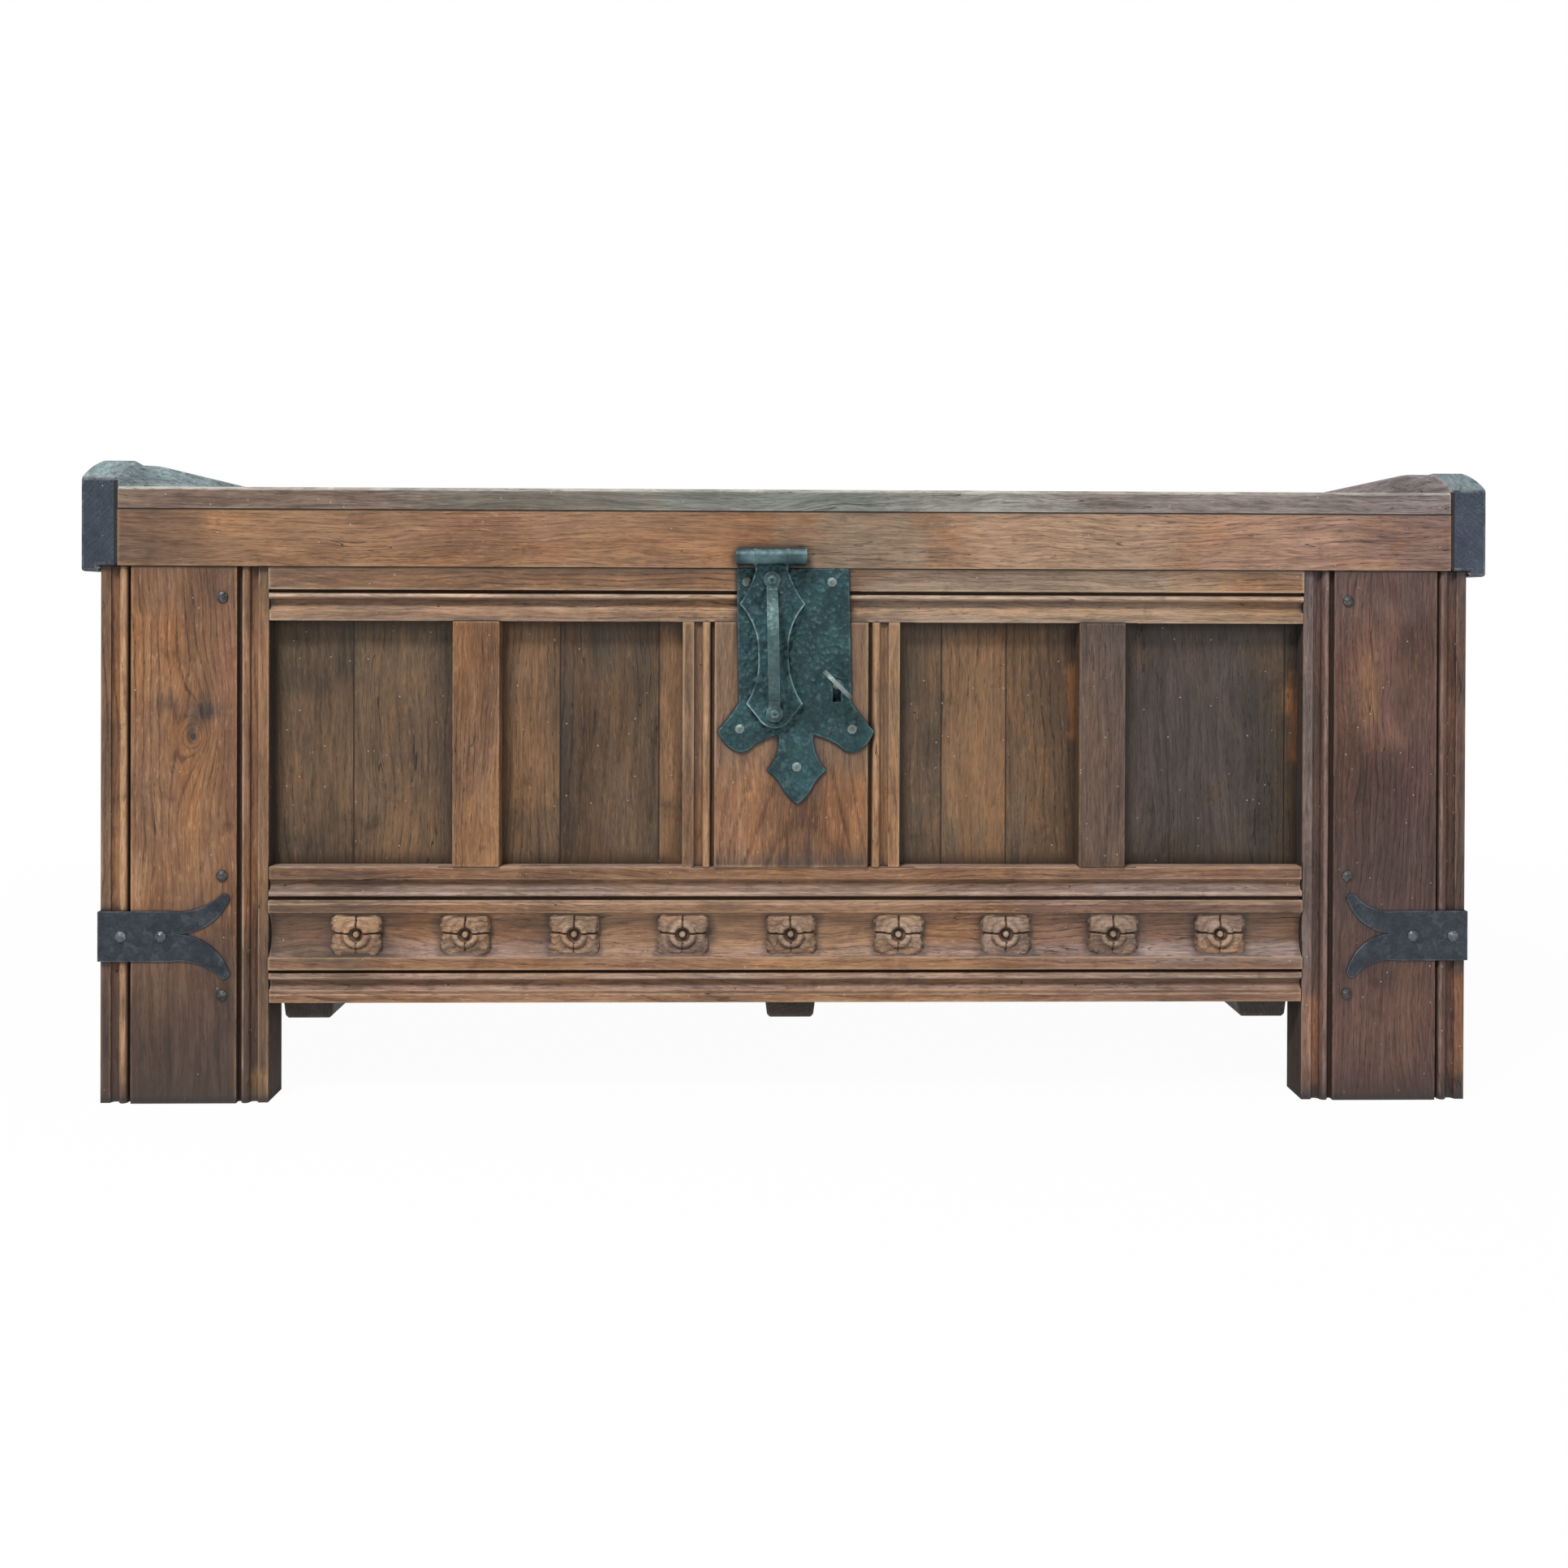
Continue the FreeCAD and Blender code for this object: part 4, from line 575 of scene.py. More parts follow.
def iron(name, tone, hammer=150.0, dent_depth=0.0024, rust=0.15, roughness=0.46, metallic=0.35, ringed=0.0,
         bright=None, clear=None, ridge_wear_and_glints=0.3, rim=0.6, reach=0.0):
    """Hammered, blackened iron, rubbed brighter on its edges by the rim share, as far in as reach, where a
    painted highlight also lies. The ridges between dents take worn flecks and painted glints, and painted
    shade darkens corners and the iron under pieces that stand over it. ringed makes a nail's rim paler than
    its middle, bright is a band of heights (low, high) that hands have kept polished, and outside the clear
    band of heights the iron stays dark."""
    low, high, bare = tone
    g = Graph(bpy.data.materials.new(name))
    point = g.coordinates("Object")
    aside = g.vector(g.times(g.noise(point, 60.0), WANDER), 0.0, 0.0)
    bent = g.out("VectorMath", {0: point, 1: aside})
    blows = g.cells(bent, hammer, "SMOOTH_F1", Smoothness=0.3).outputs["Distance"]
    small = g.noise(point, 330.0, 4.0, 0.6)
    broad = g.noise(point, 30.0, 5.0, 0.65)
    level = g.add(g.times(broad, 0.75), g.add(g.times(small, 0.4), g.times(blows, -0.2)))
    g.colour = g.mix(g.remap(level, 0.32, 0.82), low, high)
    height = g.split(point)[Z]
    dented = 1.0
    if bright:
        held = g.between(height, *bright)
        g.paint(g.times(held, g.remap(broad, 0.35, 0.65, 0.06, 0.3)), bare)
        dented = g.add(g.times(held, -0.85), 1.0)
    if clear:
        foot = g.remap(height, clear[0] + DARK_END, clear[0], 0.0, 0.75)
        head = g.remap(height, clear[1] - DARK_END, clear[1], 0.0, 0.75)
        g.paint(g.larger(foot, head), scaled(low, 0.5))
    if ringed:
        ahead = g.times(g.split(g.coordinates("Normal"))[Y], -1.0)
        g.paint(g.remap(ahead, 0.985, 0.8, 0.0, ringed), bare)
    g.paint(g.remap(g.noise(point, 140.0, 5.0, 0.7), 0.6, 0.72, 0.0, rust), RUST)
    pits = g.remap(g.noise(point, 420.0, 3.0, 0.6), 0.62, 0.7)
    g.paint(g.times(pits, 0.5), scaled(low, 0.35))
    # Worn flecks and painted glints on the ridges between the dents.
    worn_lit_ridges = g.times(g.remap(blows, 0.4, 0.56), g.remap(g.noise(point, 85.0, 3.0, 0.6), 0.52, 0.64))
    g.paint(g.times(worn_lit_ridges, dented, ridge_wear_and_glints), bare)
    # Painted shade in corners and under pieces that stand over the iron.
    corners = g.remap(g.openness(CORNER_REACH, only_local=True), 0.85, 0.35, 0.0, 0.7)
    shade = g.remap(g.openness(SHADE_REACH), 0.72, 0.25, 0.0, 0.8)
    g.paint(g.larger(corners, shade), scaled(low, 0.3))
    # Rubbed edges, with a painted highlight along them.
    edge = g.attribute("wear_and_highlight")
    if reach:
        near = g.remap(g.openness(reach, only_local=True, inside=True), 0.94, 0.72)
        edge = g.larger(edge, g.times(near, dented))
    g.paint(g.times(edge, g.remap(broad, 0.42, 0.6, 0.15 * rim, rim)), bare)
    relief = g.add(g.times(blows, 1.0), g.add(g.times(small, 0.12), g.times(pits, -0.12)))
    rough = g.remap(broad, 0.3, 0.7, roughness - 0.07, roughness + 0.12)
    return g.finish(Base_Color=g.colour, Roughness=rough, Metallic=metallic,
                    Normal=g.bump(1.0, dent_depth, g.times(relief, dented)))


# ---- pieces
SHARP = radians(28.0)
SMOOTH = radians(50.0)
WELD = 4e-6
FLAT = radians(0.4)
EDGE_STEP = 0.03
JOINT_REACH = 0.0022
WOOD_EDGE = 0.0011
BATTEN_EDGE = 0.004
IRON_EDGE = 0.0009
TREES = {name: BVHTree.FromPolygons([v.co for v in o.data.vertices], [p.vertices for p in o.data.polygons])
         for name, o in NODES.items()}


def placed(name, data):
    """A new object in the scene."""
    made = bpy.data.objects.new(name, data)
    bpy.context.scene.collection.objects.link(made)
    return made


def shaded(piece):
    """Smooth shading that keeps flat faces flat and hard corners hard."""
    mesh = piece.data
    for face in mesh.polygons:
        face.use_smooth = True
    mesh.set_sharp_from_angle(angle=SMOOTH)
    modifier = piece.modifiers.new("even_normals", "WEIGHTED_NORMAL")
    modifier.keep_sharp = True


def piece_of(bm, name, node, material):
    """Turns bm into a piece that stands for a CAD node and moves with its body."""
    mesh = bpy.data.meshes.new(name)
    bm.to_mesh(mesh)
    bm.free()
    mesh.materials.clear()
    mesh.materials.append(material)
    piece = placed(name, mesh)
    shaded(piece)
    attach(piece, NODES[node]["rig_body"])
    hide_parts(node)


def nearest_other(node):
    """Trees of the other CAD nodes whose boxes come near this one."""
    low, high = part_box(node)
    reach = Vector((JOINT_REACH,) * 3)
    found = []
    for other in NODES:
        low_b, high_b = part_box(other)
        clear = any(low[i] - reach[i] > high_b[i] or high[i] + reach[i] < low_b[i] for i in range(3))
        if other != node and not clear:
            found.append(TREES[other])
    return found


def merge_flat(bm):
    bmesh.ops.dissolve_limit(bm, angle_limit=FLAT, verts=bm.verts, edges=bm.edges)


def drop_inner_faces(bm):
    """Removes the faces left inside where two boards of one node touch."""
    inside = [face for face in bm.faces if all(len(edge.link_faces) > 2 for edge in face.edges)]
    bmesh.ops.delete(bm, geom=inside, context="FACES_ONLY")


def softened(node, material, width=WOOD_EDGE, joints=True):
    """A copy of a CAD node with its outer edges rounded over. The rounded strips carry the wear and, on iron,
    a painted highlight, or the dirt and painted shade of a joint where another piece meets them if joints is
    true."""
    bm = bmesh.new()
    bm.from_mesh(NODES[node].data)
    bmesh.ops.remove_doubles(bm, verts=bm.verts, dist=WELD)
    merge_flat(bm)
    drop_inner_faces(bm)
    merge_flat(bm)
    edges = sharp_edges(bm)
    for edge in edges:
        cuts = int(edge.calc_length() / EDGE_STEP)
        if cuts:
            bmesh.ops.subdivide_edges(bm, edges=[edge], cuts=cuts)
    wear_and_highlight = bm.faces.layers.float.new("wear_and_highlight")
    joint = bm.faces.layers.float.new("joint")
    made = bmesh.ops.bevel(bm, geom=sharp_edges(bm), offset=width, offset_type="OFFSET", segments=2,
                           profile=0.5, affect="EDGES", clamp_overlap=True)
    others = nearest_other(node) if joints else []
    for face in made["faces"]:
        middle = face.calc_center_median()
        met = any(tree.find_nearest(middle, JOINT_REACH)[0] is not None for tree in others)
        face[joint if met else wear_and_highlight] = 1.0
    piece_of(bm, node + "_worn", node, material)


def forged(node, material, width=IRON_EDGE):
    """An iron piece with its edges rounded over and rubbed bright."""
    softened(node, material, width, joints=False)


def sharp_edges(bm):
    return [e for e in bm.edges if e.is_manifold and e.is_convex and e.calc_face_angle(0.0) > SHARP]


def dressed(node, material):
    """Gives a CAD node its finish and leaves its shape as it is."""
    mesh = NODES[node].data
    mesh.materials.clear()
    mesh.materials.append(material)


# ---- carved rosettes
FLOWERS = 9
COLUMNS = 75
ROWS = 67
HALF_WIDE = 0.0265
HALF_HIGH = 0.0232
RING_CREST = 0.0108
RING_EDGE = 0.015
PIT_EDGE = 0.0073
BOSS_EDGE = 0.0042
CUT_RISE = 0.0013
CUT_HALF = 0.0008
CUT_DEPTH = 0.003
PETAL_DEPTH = 0.0033
PETAL_SWELL = 0.0013
VEIN_DEPTH = 0.0007
VEIN_PACE = 620.0
RING_HEIGHT = 0.0026
PIT_DEPTH = 0.002
BOSS_HEIGHT = 0.0034
TOOL_MARKS = 0.0005
TOOL_PACE = 260.0
LEAST_DEPTH = 0.0002
DRILLED = ((0.0, 0.0118), (0.0004, -0.0094))
DRILL_RADIUS = 0.0009


def bell(distance, width):
    return exp(-(distance / width) ** 2)


def ease(value, low, high):
    t = min(1.0, max(0.0, (value - low) / (high - low)))
    return t * t * (3.0 - 2.0 * t)


def petal_point(a, b, shift):
    """Place on the flower for a and b from -1 to 1: its outline is notched where two petals meet."""
    pinch_x = 1.0 - 0.07 * bell(b - 0.05, 0.07) - 0.05 * ease(abs(b), 0.84, 1.0)
    pinch_y = 1.0 - 0.05 * bell(a, 0.1)
    lobe = 1.0 + 0.03 * cos(pi * abs(b) * 2.0 - pi)
    return a * HALF_WIDE * pinch_x * lobe + shift[0], b * HALF_HIGH * pinch_y + shift[1]


def petal_depth(x, z, a, b, veins):
    """Depth behind the rail's face: rolled petals with chased veins, a domed ring, a pit and a boss."""
    r = hypot(x, z)
    depth = PETAL_DEPTH
    depth -= PETAL_SWELL * bell(hypot(abs(a) - 0.72, abs(b) - 0.62), 0.3)
    depth += 0.0016 * ease(abs(a), 0.84, 1.0) + 0.0012 * ease(abs(b), 0.8, 1.0)
    outside = ease(r, RING_EDGE - 0.0006, RING_EDGE + 0.0014)
    depth += outside * VEIN_DEPTH * sin(VEIN_PACE * hypot(abs(x) - 0.004, abs(z) - 0.002) + veins)
    depth += 0.0011 * bell(r - RING_EDGE - 0.0006, 0.0012) * (0.25 + 0.75 * ease(-z, -0.003, 0.007))
    ring = cos(min(1.0, abs(r - RING_CREST) / (RING_EDGE - RING_CREST)) * pi / 2.0)
    depth -= RING_HEIGHT * ring
    depth += CUT_DEPTH * carved_lines(x, z, r)
    depth += PIT_DEPTH * (1.0 - ease(r, PIT_EDGE - 0.0006, PIT_EDGE + 0.0006))
    depth += 0.001 * bell(r - BOSS_EDGE - 0.0006, 0.0007)
    dome = max(0.0, 1.0 - (r / (BOSS_EDGE + 0.0002)) ** 2)
    return depth - BOSS_HEIGHT * min(1.0, 1.5 * dome)


def carved_lines(x, z, r):
    """The crossed cuts between the petals and the drilled dots: 1 in the cut, 0 beside it."""
    past_pit = ease(r, PIT_EDGE - 0.0004, PIT_EDGE + 0.0006)
    level = bell(z - CUT_RISE - 0.04 * (abs(x) - 0.02), CUT_HALF)
    upright = bell(x, CUT_HALF)
    holes = [bell(hypot(x - dot_x, z - dot_z), DRILL_RADIUS) for dot_x, dot_z in DRILLED]
    upright *= 0.75 if z > 0.0 else 0.5
    return max(level * past_pit, upright * past_pit, *holes)


def rosette_mesh(bm, layers, centre_x, centre_z, face_y, back_y, chance):
    """One flower. Its points carry in the layers how worn and how dirty they are, painted light and shade
    too.
    """
    grid = []
    turn = chance.uniform(-0.03, 0.03)
    size = chance.uniform(0.98, 1.01)
    shift = (chance.uniform(-0.0004, 0.0004), chance.uniform(-0.0004, 0.0004))
    phase = chance.uniform(0.0, 50.0)
    for row in range(ROWS):
        b = 2.0 * row / (ROWS - 1) - 1.0
        line = []
        for column in range(COLUMNS):
            a = 2.0 * column / (COLUMNS - 1) - 1.0
            x, z = petal_point(a, b, shift)
            rough = noise.noise(Vector((x * TOOL_PACE + phase, z * TOOL_PACE, 0.0)))
            depth = max(LEAST_DEPTH, petal_depth(x, z, a, b, phase) + TOOL_MARKS * rough)
            turned_x = size * (x * cos(turn) - z * sin(turn))
            turned_z = size * (x * sin(turn) + z * cos(turn))
            vert = bm.verts.new((centre_x + turned_x, face_y + depth, centre_z + turned_z))
            vert[layers[0]], vert[layers[1]] = petal_tone(x, z, a, b, rough)
            line.append(vert)
        grid.append(line)
    close_rosette(bm, grid, back_y)


def petal_tone(x, z, a, b, rough):
    """How worn and how dirty a point of the flower is, each from 0 to 1: wear with painted light above the
    ring, dirt with painted shade under the ring and on the lower petals.
    """
    r = hypot(x, z)
    lower = ease(-z, -0.003, 0.008)
    ring = bell(r - RING_CREST, 0.0028) * (1.0 + 0.8 * rough)
    boss = 1.0 - ease(r, BOSS_EDGE - 0.0014, BOSS_EDGE - 0.0004)
    # Paler just outside the ring, mostly on its upper side: wear and painted light.
    beside = 0.45 * bell(r - RING_EDGE - 0.0015, 0.0045) * ease(r, RING_EDGE - 0.001, RING_EDGE + 0.001)
    worn_and_lit = max(0.7 * ring, 0.75 * boss, beside * (1.0 - 0.8 * lower) * (1.0 + 1.2 * rough))
    pit = 0.45 * (1.0 - ease(r, PIT_EDGE, PIT_EDGE + 0.0008)) * ease(r, BOSS_EDGE - 0.0008, BOSS_EDGE)
    pit = max(pit, 0.85 * bell(r - PIT_EDGE, 0.0006), 0.7 * bell(r - BOSS_EDGE - 0.0004, 0.0006))
    rim = 0.7 * ease(abs(a), 0.86, 0.97) + 0.75 * ease(b, 0.9, 1.0) + 0.3 * ease(-b, 0.82, 0.98)
    # Painted shadow under the ring's lower side and painted shade on the lower petals.
    shadow_below_ring = 0.42 * bell(r - RING_EDGE - 0.0016, 0.0026) * lower
    lower_petal_shade = 0.3 * lower * ease(abs(a), 0.45, 0.95)
    dirty_and_shaded = max(carved_lines(x, z, r), pit, rim * (1.0 + rough), shadow_below_ring, lower_petal_shade * (1.0 + 1.5 * rough))
    return min(1.0, max(0.0, worn_and_lit)), min(1.0, max(0.0, dirty_and_shaded + 0.15 * rough))


def close_rosette(bm, grid, back_y):
    """Faces over the grid of points, with sides and a back behind them."""
    for lower, upper in zip(grid, grid[1:]):
        for i in range(COLUMNS - 1):
            bm.faces.new((lower[i], lower[i + 1], upper[i + 1], upper[i]))
    rim = grid[0] + [line[-1] for line in grid[1:]] + grid[-1][-2::-1] + [line[0] for line in grid[-2:0:-1]]
    skirt = [bm.verts.new((v.co.x, back_y, v.co.z)) for v in rim]
    for i, vert in enumerate(rim):
        after = (i + 1) % len(rim)
        bm.faces.new((vert, skirt[i], skirt[after], rim[after]))
    bm.faces.new(skirt)


def rosette_row():
    """First centre, pitch and height of the row of flowers, where the CAD has its own."""
    low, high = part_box("carved_rosettes")
    pitch = (high.x - low.x - 2.0 * HALF_WIDE) / (FLOWERS - 1)
    return low.x + HALF_WIDE, pitch, (low.z + high.z) / 2.0


def carve_rosettes(material):
    """Nine square four-petalled flowers, each a little different."""
    first, pitch, centre_z = rosette_row()
    face_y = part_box("bottom_front_rail")[0].y
    back_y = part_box("carved_rosettes")[1].y - LEAST_DEPTH
    chance = random.Random(7)
    bm = bmesh.new()
    # The layers carry wear with painted light, and dirt with painted shade.
    layers = [bm.verts.layers.float.new(name) for name in ("wear_and_highlight", "joint")]
    for index in range(FLOWERS):
        rosette_mesh(bm, layers, first + index * pitch, centre_z, face_y, back_y, chance)
    bmesh.ops.recalc_face_normals(bm, faces=bm.faces)
    piece_of(bm, "rosettes_carved", "carved_rosettes", material)


# ---- dressing the chest
KNOT_HEIGHT = 0.39
KNOT_SHARE = 0.555
KNUCKLE_WALL = 0.004
BAIL_END = 0.004


def left_stile_oak():
    knot_x = share_of("front_stile_left", X, KNOT_SHARE)
    knots = [(knot_x, KNOT_HEIGHT, 0.055, 0.026, 0.0), (knot_x, KNOT_HEIGHT, 0.014, 0.012, 1.6)]
    return oak(
        "oak_stile_left", OAK_WARM, "z", 3, tilt=0.02, ring=0.0085, ring_power=0.42, knots=knots,
        patina=0.45, dark_ramps=[(Z, 0.24, 0.06, 0.85)], foot=0.8, facing=[(X, 0.8, 0.97, 1.0, BLACKENED)],
        contact_shade=0.8, lift=0.9, on="front_stile_left",
        patches=[
            (0.43, 0.738, 5, 1, 22, 0.6, SOOT_AND_SHADE), (0.64, 0.732, 7, 2, 20, 0.85, SOOT_AND_SHADE),
            (0.55, 0.704, 1, 6, 8, 0.5, SMOKY), (0.03, 0.5, 4, 400, 4, 0.45, SMOKY),
            (0.5, 0.99, 100, 20, 60, 0.45, COVE_SHADE), (0.5, 0.15, 100, 60, 100, 0.45, DARK_PLUM),
            (0.97, 0.03, 4, 8, 16, 0.7, BARE_YELLOW)],
        # Painted highlights on the beads; the last line darkens the fillet's tone.
        lines=[
            (23, 2.6, 3.4, 0.8, GOLD_HIGHLIGHT), (149.6, 0.8, 2.2, 0.7, PALE_HIGHLIGHT),
            (166, 0.6, 1.2, 0.45, PALE_HIGHLIGHT), (172.2, 3.6, 3, 0.55, TAN_FILLET)])


def right_stile_oak():
    return oak(
        "oak_stile_right", OAK_RED, "z", 4, heart=0.12, tilt=0.03, ring=0.006, grain=0.85, golden=0.4,
        dark_ramps=[(Z, 0.42, 0.2, 0.35)], foot=0.6, lift=0.7, specks=0.16,
        facing=[(X, -0.8, -0.97, 1.0, BLACKENED)], contact_shade=0.8, on="front_stile_right",
        patches=[
            (0.47, 0.8, 8, 60, 34, 0.55, ROSEWOOD), (0.4, 0.78, 2, 30, 16, 0.55, OCHRE),
            (0.045, 0.11, 3, 42, 12, 0.85, BARE_ORANGE), (0.985, 0.14, 2, 50, 12, 0.75, BARE_ORANGE),
            (0.5, 0.97, 100, 4, 60, 0.25, PLUM_STONE), (0.5, 0.13, 60, 30, 50, 0.3, ROSEWOOD),
            (0.5, 0.42, 40, 30, 60, 0.45, DARK_PLUM)],
        # Painted highlights on the beads and dirt and painted shade in the hollow beside them.
        lines=[
            (6, 5, 5, 0.45, STONE), (25.3, 1.4, 2.4, 0.75, ROSE_HIGHLIGHT),
            (149.4, 1, 2.2, 0.8, ROSE_HIGHLIGHT), (156.5, 1, 2.2, 0.6, HOLLOW_DIRT_AND_SHADE), (174, 2.6, 3, 0.5, SMOKY)])


def top_rail_oak():
    return oak(
        "oak_rails", OAK_BROWN, "x", 5, heart=0.1, tilt=0.03, ring=0.005, grain=0.85, golden=0.6,
        patina=0.3, contact_shade=0.75, specks=0.05, crest_wear_and_highlight=0.45, on="top_front_rail",
        patches=[(0.74, 0.5, 140, 40, 90, 0.6, SANDY), (0.1, 0.5, 100, 40, 90, 0.3, COVE_SHADE)],
        # Painted shade under the apron, dirt and painted shade in the hollow, painted highlights on the
        # beads.
        lines=[
            (55.5, 3, 10, 0.4, COVE_SHADE), (27.1, 0.8, 1.8, 0.85, PALE_HIGHLIGHT),
            (21.9, 1.2, 3, 0.55, HOLLOW_DIRT_AND_SHADE), (11.2, 3, 4, 0.52, GOLD_HIGHLIGHT), (4, 1, 3, 0.35, PALE_TAN)])


def carved_rail_oak():
    first, pitch, centre_z = rosette_row()
    halo = (first, pitch, HALF_WIDE, centre_z - HALF_HIGH, centre_z + HALF_HIGH)
    # Upward faces of the cove and two thin LILAC_SHEEN bands take a painted reflection; COVE_SHADE is painted
    # shade.
    return oak(
        "oak_carved_rail", OAK_WARM, "x", 6, heart=0.1, tilt=0.03, ring=0.005, grain=0.8, golden=0.4,
        patina=0.45, halo=halo, crest_wear_and_highlight=0.45, specks=0.06, lift=0.9, facing=[(Z, 0.04, 0.5, 0.45, LILAC_SHEEN)],
        on="bottom_front_rail",
        patches=[
            (0.86, 0.5, 100, 60, 100, 0.35, PLUM_TAN), (0.02, 0.6, 60, 10, 100, 0.95, COVE_SHADE),
            (0.98, 0.58, 30, 10, 100, 0.35, COVE_SHADE), (0.45, 0.6, 160, 12, 50, 0.85, HONEY),
            (0.92, 0.36, 90, 3, 12, 0.34, LILAC_SHEEN), (0.88, 0.83, 90, 4, 8, 0.35, LILAC_SHEEN)],
        # Painted highlights on the beads and cove edges, dirt and painted shade in the hollows.
        lines=[
            (128.5, 0.8, 1.8, 0.6, HOLLOW_DIRT_AND_SHADE), (123, 1.6, 3, 0.5, DIM_LILAC_SHEEN), (119.3, 0.3, 1, 0.4, HOLLOW_DIRT_AND_SHADE),
            (116.3, 1, 2, 0.7, LILAC_HIGHLIGHT), (106.2, 0.4, 1.4, 0.5, PALE_HIGHLIGHT),
            (85, 6, 16, 0.25, COVE_SHADE), (27, 0.8, 2, 0.8, LILAC_HIGHLIGHT),
            (20.8, 1.4, 3.6, 0.7, HOLLOW_DIRT_AND_SHADE), (10.8, 0.4, 1.2, 0.6, HOLLOW_DIRT_AND_SHADE),
            (8.8, 0.4, 1.2, 0.5, PALE_HIGHLIGHT)])


def right_muntin_oak():
    return oak(
        "oak_muntin_right", OAK_PANEL, "z", 9, heart=0.15, grain=1.0, golden=0.3, lift=0.64, specks=0.12,
        on="muntin_right",
        patches=[(0.5, 0.98, 50, 4, 50, 0.45, SMOKY), (0.5, 0.5, 50, 100, 50, 0.3, MAUVE)])


def centre_plank_oak():
    return oak(
        "oak_centre", OAK_WARM, "z", 10, heart=0.09, grain=0.8, ring_power=0.28, golden=0.6, patina=0.25,
        contact_shade=0.85, lift=1.04, crest_wear_and_highlight=0.35, on="centre_plank",
        patches=[
            (0.5, 0.01, 70, 1, 30, 0.7, SMOKY), (0.5, 0.8, 110, 80, 50, 0.6, SMOKED_BROWN),
            (0.04, 0.5, 4, 150, 12, 0.35, COVE_SHADE)],
        # Painted highlights on the beads, dirt and painted shade in the hollow.
        lines=[
            (6, 4, 3, 0.62, TAN_FILLET), (14.5, 1, 2, 0.6, HOLLOW_DIRT_AND_SHADE), (24.5, 5.5, 2, 0.4, GOLDEN_TAN),
            (25.4, 1.6, 2.8, 0.6, GOLD_HIGHLIGHT), (208.5, 5.5, 2, 0.65, GOLDEN_TAN),
            (207.6, 1.6, 2.8, 0.6, GOLD_HIGHLIGHT), (215.8, 0.6, 1.6, 0.6, HOLLOW_DIRT_AND_SHADE),
            (224.5, 6, 3, 0.6, GOLDEN_TAN)])


def both_sides(*names):
    return [f"{name}_{side}" for name in names for side in ("left", "right")]


def dress_frame_front():
    softened("front_stile_left", left_stile_oak())
    softened("front_stile_right", right_stile_oak())
    softened("top_front_rail", top_rail_oak())
    softened("bottom_front_rail", carved_rail_oak())
    plain = oak("oak_muntin_left", OAK_WARM, "z", 8, heart=0.15, grain=0.8, patina=0.35, lift=0.78)
    flowers = oak("oak_flowers", OAK_FLOWER, "x", 41, heart=0.1, ring=0.005, golden=0.6, patina=0.55,
                  rub=0.62, crest_wear_and_highlight=0.2)
    carve_rosettes(flowers)
    softened("muntin_left", plain)
    softened("muntin_right", right_muntin_oak())
    softened("centre_plank", centre_plank_oak())


PANEL_LOOKS = [
    ("front_panel_1", 11, 0.1, (0.44,), (-0.04,), 0.55, 0.35, 0.84, [
        (0.3, 0.45, 30, 50, 40, 0.25, OCHRE)]),
    ("front_panel_2", 12, 0.02, (0.33, 0.84), (-0.16, 0.34), 0.5, 0.65, 0.92, [
        (0.12, 0.62, 20, 90, 22, 0.42, OCHRE),
        (0.93, 0.6, 8, 80, 16, 0.6, OCHRE)]),
    ("front_panel_3", 13, 0.04, (0.26, 0.6), (0.28, -0.26), 0.45, 0.6, 0.8, [
        (0.43, 0.55, 22, 90, 18, 0.4, OCHRE),
        (0.12, 0.62, 1, 0.5, 1.6, 0.95, GRIME_AND_SHADE),
        (0.97, 0.66, 4, 35, 12, 0.85, BARE_ORANGE)]),
    ("front_panel_4", 14, 0.12, (0.9,), (0.04,), 0.8, 0.35, 0.52, [
        (0.945, 0.7, 2, 16, 14, 0.7, BARE_ORANGE),
        (0.965, 0.56, 1, 30, 12, 0.6, BARE_ORANGE),
        (0.33, 0.48, 50, 70, 60, 0.6, PLUM),
        (0.5, 0.98, 100, 4, 40, 0.65, BLUE_SMOKE)])]


def dress_panels():
    """Each panel is of narrow boards of different tone. PANEL_LOOKS gives the node, seed, heart, where the
    boards meet, tone steps, dark patina, golden share, lift and patches."""
    for node, seed, heart, shares, tones, patina, golden, lift, rows in PANEL_LOOKS:
        # Each panel turns darker towards its top, and rim paints shade and dirt round its edges.
        look = oak(
            "oak_" + node, OAK_PANEL, "z", seed, heart=heart, tilt=0.02, ring=0.008, ring_power=0.26,
            grain=0.75, golden=golden, cool=OLIVE, patina=patina, on=node, boards=shares, board_tones=tones,
            dark_ramps=[(Z, 0.46, 0.6, 0.5)], patches=rows, lift=lift, rim=True, specks=0.11)
        softened(node, look)


def dress_sides_and_back():
    plain = {"heart": 0.1, "ring": 0.006, "patina": 0.6}
    upright = oak("oak_uprights", OAK_BROWN, "z", 21, foot=0.6, **plain)
    level = oak("oak_back_rails", OAK_BROWN, "x", 22, **plain)
    side = oak("oak_side_rails", OAK_BROWN, "y", 23, **plain)
    panel = oak("oak_plain_panels", OAK_PANEL, "z", 24, ring=0.007, patina=0.6)
    for node in both_sides("rear_stile", "rear_muntin", "side_muntin"):
        softened(node, upright)
    for node in ("rear_top_rail", "rear_bottom_rail"):
        softened(node, level)
    for node in both_sides("side_top_rail", "side_bottom_rail"):
        softened(node, side)
    for node in NODES:
        if node.startswith(("rear_panel", "side_panel")):
            softened(node, panel)


def dress_floor():
    boards = oak("oak_floor", OAK_RAW, "x", 25, heart=0.06, ring=0.006, patina=0.4)
    bearers = oak("oak_bearers", OAK_BLACK, "y", 26, heart=0.06, patina=0.3)
    softened("floor_boards", boards)
    softened("floor_bearers", bearers)


